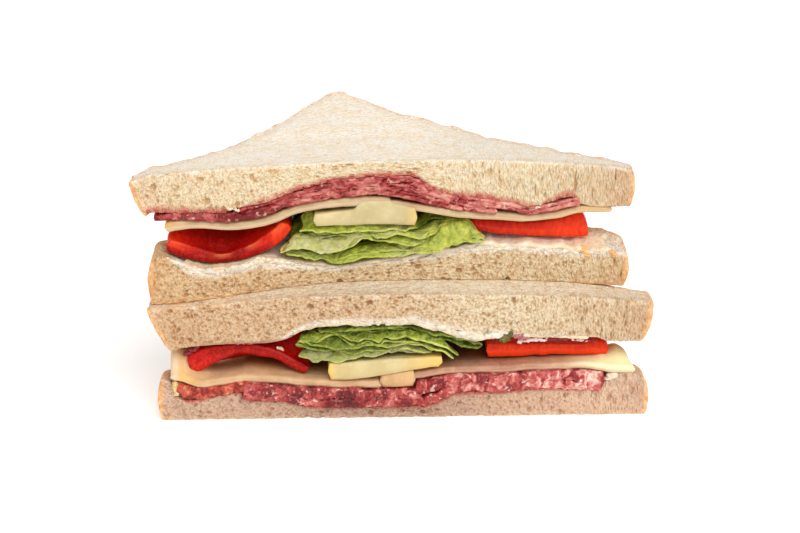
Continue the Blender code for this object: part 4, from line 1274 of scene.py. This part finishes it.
def one_fold(half, points, seed, drop, set_back, wave, lean, lines):
    """One fold of a leaf, which lies this far below the points' line and this far back."""
    start, end = points[0][0], points[-1][0]
    lowered = [(x, z - drop) for x, z in points]
    middle = line_through(lowered, int((end - start) / LEAF_STEP))
    top, bottom = both_sides(middle, LEAF_THICK * LEAF_SHOWN)
    ripple, waves, phase = wave

    def by(line, x, otherwise=0.0):
        return lines[line](x) if line in lines else otherwise

    def behind(x, depth):
        return np.maximum(depth + LEAF_FRONT - set_back + by("stand", x), 0.0)

    def sway(x, depth, station, side):
        share = run_share(half, x, depth, LEAF_SETBACK, LEAF_FRONT)
        back = behind(x, depth)
        slow = ripple * np.sin(2 * np.pi * (waves * station + phase + 0.8 * share))
        bends = 0.7 * along_x(x, 7.0, seed) + 0.45 * along_x(x, 3.2, seed + 1) + by("shape", x)
        crinkle = by("curl", x, 0.15) * along_x(x, 1.4, seed + 2) * np.exp(-back / 1.5)
        narrowing = smooth(np.minimum(x - start, end - x) / 5.0)
        hump = by("rise", x) * narrowing * smooth(back / 3.6) * (1.0 - smooth((back - 9.0) / 16.0))
        filled = by("fill", x) * smooth((back - 3.0) / 6.0)
        small = 0.25 * noise(at(x, depth), 3.0, seed)
        return slow + bends * np.exp(-back / 8.0) + crinkle + hump + filled + small

    def columns(x, depth, side):
        back = behind(x, depth)
        stripe = np.abs(np.sin(0.85 * (x - lean * back) + 1.6 * along_x(x, 12.0, seed + 3)))
        ribs = np.exp(-((stripe / 0.2) ** 2)) * 0.35
        whitish = by("pale", x) * np.exp(-back / 9.0)
        edge = np.exp(-back / 0.3) * np.minimum(0.6 * by("lime", x, 0.7), 1.0)
        from_crust = smooth((half.reach(x) - depth - 5.0) / 4.0)
        # Painted shade, darker where deep says and further behind the front edge, less near the crust.
        dark = np.maximum(by("deep", x), 0.8 * smooth((back - 3.0) / 6.0)) * mix(0.25, 1.0, from_crust)
        return [np.clip(np.maximum(ribs, whitish), 0.0, 1.0), edge, dark * (1 - edge)]

    def ragged(x):
        return 0.7 * along_x(x, 4.5, seed + 4) + 0.35 * along_x(x, 1.3, seed + 5) + by("stand", x)

    shell = sheet(
        half, top, bottom, LEAF_FRONT - set_back, LEAF_SETBACK, ragged=ragged, sway=sway,
        columns=columns, wall_rows=1,
    )
    ragged_ends(shell[0], start, end, seed + 6, amount=1.5, inwards=0.12 * (end - start) / 2)
    return shell


def ragged_ends(points, start, end, seed, amount, inwards):
    """Bends the left and right ends of a sheet in and out with the depth, and inwards on the whole."""
    x, back = points[:, 0], np.maximum(points[:, 1] - points[:, 1].min(), 0.0)
    middle = (start + end) / 2
    towards = (x - middle) / (end - middle)
    at_end = np.exp(-np.minimum(x - start, end - x) / 4.0)
    points[:, 0] += at_end * amount * noise(points, (99.0, 3.5, 99.0), seed)
    points[:, 0] -= towards * inwards * smooth(back / 16.0)


def lettuce():
    finish = lettuce_finish("lettuce_upper", rgb(126, 144, 26), rgb(180, 192, 58), rgb(216, 221, 100))
    leaf(
        upper, 1, (-30.3, 59.6), (-24, 59), (-14, 59.6), (-4, 59.7), (8, 59.2), (15, 61.2),
        (23.6, 60.6), wave=(0.2, 3.0, 0.1), finish=finish,
        rise=((-30, 2.4), (-14, 1.6), (-6, 0.8), (6, 0.3), (10, 2), (18, 2.5), (24, 2)),
        stand=((-30, 0), (6, 0), (10, -5), (24, -6)),
        pale=((-30, 0), (-6, 0.2), (0, 0.8), (6, 0.4), (8, 0)),
        lime=((-30, 0.6), (0, 0.6), (10, 0)),
        deep=((-30, 0.2), (-20, 0), (6, 0), (9, 0.9), (24, 0.9)),
        fill=((-33, 5), (-27, 6), (-25.5, 0), (8, 0), (10, 3), (24, 1.5)),
    )
    leaf(
        upper, 2, (-34, 55.4), (-26, 56.6), (-14, 57.2), (-4, 57.5), (5, 56.9), (14, 58),
        (22.5, 58), wave=(0.3, 4.0, 0.4), finish=finish,
        rise=((-34, 2.5), (-10, 2.2), (-4, 2.8), (2, 2.4), (8, 1), (22, 2.5)),
        shape=((-34, 0), (-10, 0), (-3, -1.2), (2, 0.8), (8, -0.6), (22, 0)),
        stand=((-34, -2.5), (-9, -2.5), (-5, 0.4), (2, 0.6), (12, 0.4), (16, -4), (22, -4)),
        pale=((-34, 0), (-28, 0.2), (-26, 0.8), (-10, 0.7), (-2, 0.7), (5, 0.3), (12, 0.4), (22, 0.1)),
        lime=((-34, 0), (-8, 0), (0, 1), (14, 0.8)),
        deep=((-34, 1), (-28.5, 0.9), (-26.5, 0), (12, 0), (18, 0.7)),
        fill=((-34, 5), (-29, 5), (-27, 0)),
    )
    leaf(
        upper, 3, (-36.5, 53.2), (-30, 54), (-24, 52.4), (-17, 53.2), (-8, 54.4), (0, 54.6),
        (8, 54.2), (17, 55.3), (24, 56.2), wave=(0.3, 5.0, 0.0), finish=finish,
        rise=((-36, 3.6), (-12, 4.2), (-5, 1.2), (8, 2.6), (14, 2), (24, 2.5)),
        shape=((-36, -0.4), (-25, 0.2), (-18, 0), (-9.4, 1.4), (-3, 0.6), (3, -0.4), (9, 0.6), (24, 0)),
        stand=((-36, 0), (8, 0.2), (14, -3), (24, -3)),
        pale=((-36, 1), (-12, 0.9), (-6, 0.1), (3, 0.1), (8, 0.4), (14, 0.1)),
    )
    leaf(
        upper, 4, (-34, 51.4), (-27, 50.4), (-18.7, 49), (-10, 50), (-2, 50.7), (8, 51.1),
        (18, 52.7), (30.5, 55.3), wave=(0.3, 4.0, 0.7), finish=finish,
        rise=((-34, 1.6), (-10, 1.6), (6, 2), (12, 5), (20, 6.5), (30, 4)),
        shape=((-34, 1), (-27, 0), (-19, -0.6), (-14, 0), (6, 0), (24, 0.6), (30, 0)),
        pale=((-34, 0.3), (-15, 0), (-4, 0.1), (2, 0.6), (7, 0.5), (12, 0.1), (26, 0.1), (30, 0.6)),
        curl=((-34, 1), (-28, 0.8), (-22, 0.3), (-18, 0.8), (-10, 0.2), (24, 0.2), (28, 0.9)),
        deep=((-34, 0.3), (-20, 0.25), (-4, 0.1), (8, 0)), lean=1.6, folds=((0, 0), (-1, 0.8)),
    )

    finish = lettuce_finish("lettuce_lower", rgb(70, 88, 8), rgb(118, 134, 26), rgb(176, 184, 68))
    leaf(
        lower, 1, (-24, 29.7), (-12, 30.3), (0, 30.1), (6, 29.8), (12, 28), (17, 26.6), (22, 25.3),
        (27.5, 24), wave=(0.2, 4.0, 0.2), finish=finish, rise=((-24, 0.6), (27, 0.8)),
        shape=((-24, 0.4), (-10, -0.4), (0, 0.6), (8, 0), (27, 0.4)),
        lime=((-24, 0.2), (27, 0.3)), curl=((-24, 0.6), (-10, 0.3), (8, 0.5), (24, 0.7)),
        deep=((-24, 0.3), (0, 0.5), (6, 0.9), (12, 0.4), (27, 0.6)),
        fill=((8, 0), (14, 1.5), (27, 2.5)), folds=((0, 0), (1.1, 0.7)),
    )
    leaf(
        lower, 2, (-31, 27.4), (-24, 27.6), (-17, 28.3), (-8, 28), (1, 27.7), (9, 26.8),
        (16, 24.2), (19.5, 22.3), wave=(0.2, 4.0, 0.5), finish=finish,
        rise=((-31, 1.8), (-22, 0.8), (-10, 1.4), (9, 2), (19, 1.2)),
        shape=(
            (-31, -0.6), (-25.5, -1.6), (-22, 0.4), (-19, 1), (-16, -0.2), (-12.3, -2.2), (-8.8, -1),
            (-5, -1.8), (-3, 0.2), (4, 0), (12, -0.3), (19.5, -0.5),
        ),
        stand=((-31, 0.3), (0, 0.6), (8, 1.2), (19, 1.5)),
        curl=((-31, 0.3), (0, 0.2), (19, 0.1)),
        lime=((-31, 0.8), (4, 0.9), (14, 1.6), (19.5, 1.6)),
        folds=((0, 0), (1.2, 0.9)),
    )
    leaf(
        lower, 3, (-30.6, 24.8), (-24, 25.3), (-17, 24.6), (-8, 25.4), (0, 25.1), (8, 24.4),
        (13, 23), wave=(0.2, 4.0, 0.1), finish=finish,
        rise=((-30, 2.8), (-12, 2.4), (0, 1.6), (13, 1.8)),
        shape=((-30, 1), (-25, -0.2), (-13, -1.2), (-2, -0.8), (3, 0.2), (13, 0.2)),
        pale=((-30, 0), (-5, 0.1), (3, 0.7), (13, 0.5)), deep=((-30, 0.45), (-4, 0.3), (6, 0)),
        folds=((0, 0), (1.2, 0.6)),
    )
    leaf(
        lower, 4, (-30.8, 22.2), (-26, 20.8), (-20, 20.9), (-10, 21.8), (0, 22.4), (9, 22.6),
        wave=(0.2, 3.0, 0.8), finish=finish, rise=((-30, 3), (9, 2.2)),
        shape=((-30, -0.4), (-24, -1.8), (-16, -1.2), (-8, -0.8), (0, -0.2), (9, 0)),
        stand=((-30, 0.6), (-8, 0.4), (9, -0.6)),
        pale=((-30, 0.7), (9, 0.7)), lime=((-30, 2.6), (-10, 2.2), (0, 0.3)),
        deep=((-30, 0.25), (9, 0.2)),
    )


BALL_GRID = 9


def ball(centre, radii, seed):
    """A lumpy closed blob."""
    u, v = np.meshgrid(*[np.linspace(-1.0, 1.0, BALL_GRID)] * 2, indexing="ij")
    x, y = u * np.sqrt(1 - v**2 / 2), v * np.sqrt(1 - u**2 / 2)
    z = np.sqrt(np.maximum(1.0 - x**2 - y**2, 0.02))
    points, faces = loft(np.stack([x, y, z], axis=2), np.stack([x, y, -z], axis=2))
    points *= 1.0 + 0.35 * noise(points + seed, 0.9, seed)[:, None]
    points = points * radii + centre
    return np.concatenate([points, np.zeros((len(points), 1))], axis=1), faces


SUNK = 0.5  # how deep in the crumb the mayonnaise starts
SMALLEST_BLOB = 0.2


def spread(half, start, end, bread_face, side, seed, finish, thick, soaked, squeezed, edge_soaked_and_shaded=0.0):
    """Mayonnaise on a face of bread, squeezed out in blobs at the cut.

    side is 1 where it lies on the bread and -1 where it hangs under it. thick(x) is how thick it is,
    soaked(x) how much it has gone into the crumb, the edge value how much more soaked its colour is at
    its front edge, partly soaked in and partly painted shade on that lit edge, and squeezed(x) how
    large the blobs get.
    """
    def edge(x):
        return -0.2 - UPPER_BASE_SETBACK(x) if side > 0 else 0.0

    xs = np.linspace(start, end, int((end - start) / SPREAD_STEP))
    lumpy = 0.7 + 0.4 * along_x(xs, 5.0, seed) + 0.3 * along_x(xs, 1.8, seed + 1)
    near = bread_face(xs, 0.0) - side * SUNK
    far = near + side * (thick(xs) * np.clip(lumpy, 0.25, 1.1) + SUNK + GAP)
    top, bottom = (far, near) if side > 0 else (near, far)
    points, faces = sheet(
        half, np.stack([xs, top], 1), np.stack([xs, bottom], 1),
        ragged=lambda x: edge(x) + 0.6 * along_x(x, 5.0, seed + 2) + 0.4 * along_x(x, 1.7, seed + 3),
        # At the front edge the soaked colours also paint shade on the lit edge.
        columns=lambda x, depth, _: [soaked(x) + edge_soaked_and_shaded * np.exp(-np.maximum(depth, 0.0) / 0.6)],
    )
    ragged_ends(points, start, end, seed + 4, amount=2.5, inwards=2.0)
    shells = [(points, faces)]

    rng = np.random.default_rng(seed)
    for x in rng.uniform(start - 4, end - 2, int((end - start) * 1.6)):
        size = squeezed(x) * rng.uniform(0.35, 1.0)
        if size < SMALLEST_BLOB:
            continue
        z = bread_face(x, 0.0) + side * rng.uniform(-0.4, 0.5) * size
        front = half.cut(x) - edge(x)
        radii = np.array([rng.uniform(0.7, 1.8), 0.6, 0.7]) * size
        blob, quads = ball((x, front - 0.15 * size, z), radii, int(rng.integers(1000)))
        blob[:, 3] = 0.7 * soaked(x) * rng.random()
        shells.append((blob, quads))
    name = f"mayonnaise_{half.name}"
    piece(name + "_cream", name, finish, shells, ("thin",))


def mayonnaise():
    finish = mayonnaise_finish()
    spread(
        upper, -67.5, 71.5, upper_base_inside, side=1, seed=71, finish=finish,
        thick=profile(
            (-67.5, 0.7), (-57, 0.9), (-30, 0.9), (0, 0.9), (8, 1.6), (20, 2), (36, 1.8), (55, 2),
            (72.5, 1.2),
        ),
        soaked=profile(
            (-67, 0.95), (-54, 0.85), (-40, 0.6), (-30, 0.6), (10, 0.3), (40, 0.3), (56, 0.5), (66, 0.6),
        ),
        squeezed=profile(
            (-72, 0.8), (-64, 1), (-56, 1.3), (-44, 1.4), (-34, 0.9), (-25, 0.4), (10, 0.5), (24, 1),
            (56, 1.3), (70, 0.6),
        ),
        edge_soaked_and_shaded=0.3,
    )
    spread(
        lower, -33.0, 61.0, lower_top_inside, side=-1, seed=81, finish=finish,
        thick=profile((-33, 0.6), (-20, 0.9), (2, 0.9), (16, 1.6), (27, 1.6), (34, 0.7), (61, 0.4)),
        soaked=profile((-33, 0.9), (0, 0.8), (10, 0.5), (34, 0.5), (40, 0.9)),
        squeezed=profile((-33, 0.5), (-10, 0.8), (8, 0.8), (14, 1.6), (30, 1.6), (36, 0.5), (61, 0.3)),
    )


# name: its slot, its light and dark colour, and strings of blobs: from, to, how many and how large
SMEARS = {
    "cream": (
        "mayonnaise", rgb(250, 232, 206), rgb(232, 202, 170),
        ((-52.2, -2.7, 68.4), (-49.0, -2.2, 67.4), 4, 0.7),
        ((46.9, 3.3, 66.8), (44.8, 3.4, 65.2), 4, 0.7),
        ((68.6, -9.4, 12.2), (70.4, -9.2, 13.4), 5, 1.2),
        ((-37.6, -5.6, 22.8), (-35.6, -5.2, 21.8), 4, 0.6),
    ),
    "pinkish_cream": (
        "mayonnaise", rgb(255, 234, 228), rgb(240, 202, 196),
        ((40.2, -8.4, 25.2), (48.4, -8.2, 25.6), 16, 0.9),
        ((56.8, -8.0, 25.2), (61.2, -8.0, 24.8), 7, 0.6),
    ),
    "yellow_rim": (
        "cheese", rgb(244, 218, 158), rgb(226, 190, 124),
        ((-70.3, -9.0, 12.6), (-69.8, -9.4, 8.6), 30, 0.8),
    ),
    "juice": (
        "mayonnaise", rgb(250, 198, 128), rgb(238, 168, 92),
        ((61.0, 5.4, 51.8), (62.8, 4.9, 49.6), 7, 1.2),
        ((69.6, 4.4, 50.6), (71.6, 4.4, 49.8), 5, 1.0),
    ),
    "pink": (
        "salami", rgb(206, 136, 128), rgb(150, 66, 72),
        ((38.8, -9.8, 27.2), (42.2, -9.4, 26.6), 9, 1.1),
        ((-53.6, -7.2, 25.2), (-42.6, -7.6, 25.2), 14, 0.6),
    ),
    # Bits of pepper skin, their dark purple partly painted shade and a painted reflection over the skin's
    # red.
    "shaded_pepper_skin": (
        "red_pepper", rgb(170, 50, 60), rgb(104, 16, 30),
        ((-66.2, -6.4, 21.6), (-62.8, -6.4, 23.6), 7, 1.1),
        ((47.0, -8.2, 25.6), (57.6, -8.0, 25.4), 14, 0.7),
        ((60.6, -8.0, 25.0), (64.0, -7.6, 24.6), 5, 0.6),
    ),
    "torn_leaf": (
        "lettuce", rgb(124, 116, 52), rgb(74, 68, 28),
        ((36.8, -9.8, 28.0), (34.4, -9.6, 25.6), 9, 1.3),
    ),
}


def smears():
    """Cream, juice and torn bits that lie between the layers at the cut, as strings of blobs."""
    rng = np.random.default_rng(5)
    for name, (slot, light, dark, *strings) in SMEARS.items():
        shells = []
        for start, end, count, size in strings:
            for share in np.linspace(0.0, 1.0, count):
                centre = mix(np.array(start), np.array(end), share) + 0.3 * size * rng.uniform(-1.0, 1.0, 3)
                radii = size * rng.uniform((0.6, 0.6, 0.4), (1.5, 1.0, 0.9))
                shells.append(ball(centre, radii, int(rng.integers(1000))))
        piece("smear_" + name, None, smear_finish("smear_" + name, light, dark), shells)


# ------------------------------ floor, lights and camera
CAMERA_TURN, CAMERA_RISE = np.radians(-2.0), np.radians(18.0)
CAMERA_AWAY = 650.0
CAMERA_TARGET = np.array([2.0, 0.0, 47.8])
PHOTO_WIDTH, FOCAL_PIXELS, SENSOR = 800, 2035.0, 36.0
FLOOR_HALF = 3.0  # in metres


def floor():
    mesh = bpy.data.meshes.new("floor")
    corners = [(FLOOR_HALF * x, FLOOR_HALF * y, 0) for x, y in ((-1, -1), (1, -1), (1, 1), (-1, 1))]
    mesh.from_pydata(corners, [], [(0, 1, 2, 3)])
    made = bpy.data.objects.new("floor", mesh)
    bpy.context.scene.collection.objects.link(made)
    finish = bpy.data.materials.new("pale_floor")
    finish.use_nodes = True
    inputs = finish.node_tree.nodes["Principled BSDF"].inputs
    inputs["Base Color"].default_value = (0.93, 0.93, 0.93, 1.0)
    inputs["Roughness"].default_value = 0.9
    inputs["Specular IOR Level"].default_value = 0.0
    inputs["Emission Color"].default_value = (1.0, 1.0, 1.0, 1.0)
    inputs["Emission Strength"].default_value = 0.3
    mesh.materials.append(finish)


def sun(name, power, spread, toward):
    """A soft light from far away. toward is the way its light goes."""
    light = bpy.data.lights.new(name, "SUN")
    light.energy = power
    light.angle = np.radians(spread)
    made = bpy.data.objects.new(name, light)
    made.rotation_euler = Vector(toward).to_track_quat("-Z", "Y").to_euler()
    bpy.context.scene.collection.objects.link(made)


def lights():
    world = bpy.data.worlds.new("studio")
    world.use_nodes = True
    inputs = world.node_tree.nodes["Background"].inputs
    inputs["Color"].default_value = (1.0, 0.99, 0.98, 1.0)
    inputs["Strength"].default_value = 0.54
    bpy.context.scene.world = world
    sun("key", 1.85, 45, (-0.35, 0.8, -0.9))
    sun("fill", 0.35, 90, (0.7, 0.7, -0.6))


def camera():
    back = np.array([
        np.sin(CAMERA_TURN) * np.cos(CAMERA_RISE),
        -np.cos(CAMERA_TURN) * np.cos(CAMERA_RISE),
        np.sin(CAMERA_RISE),
    ])
    data = bpy.data.cameras.new("camera")
    data.sensor_width = SENSOR
    data.lens = SENSOR * FOCAL_PIXELS / PHOTO_WIDTH
    made = bpy.data.objects.new("camera", data)
    made.location = (CAMERA_TARGET + SHIFT + back * CAMERA_AWAY) * MM
    made.rotation_euler = Vector(-back).to_track_quat("-Z", "Y").to_euler()
    bpy.context.scene.collection.objects.link(made)
    bpy.context.scene.camera = made


bpy.context.scene.view_settings.view_transform = "Standard"
breads()
salami_slices()
cheeses()
peppers()
lettuce()
mayonnaise()
smears()
floor()
lights()
camera()
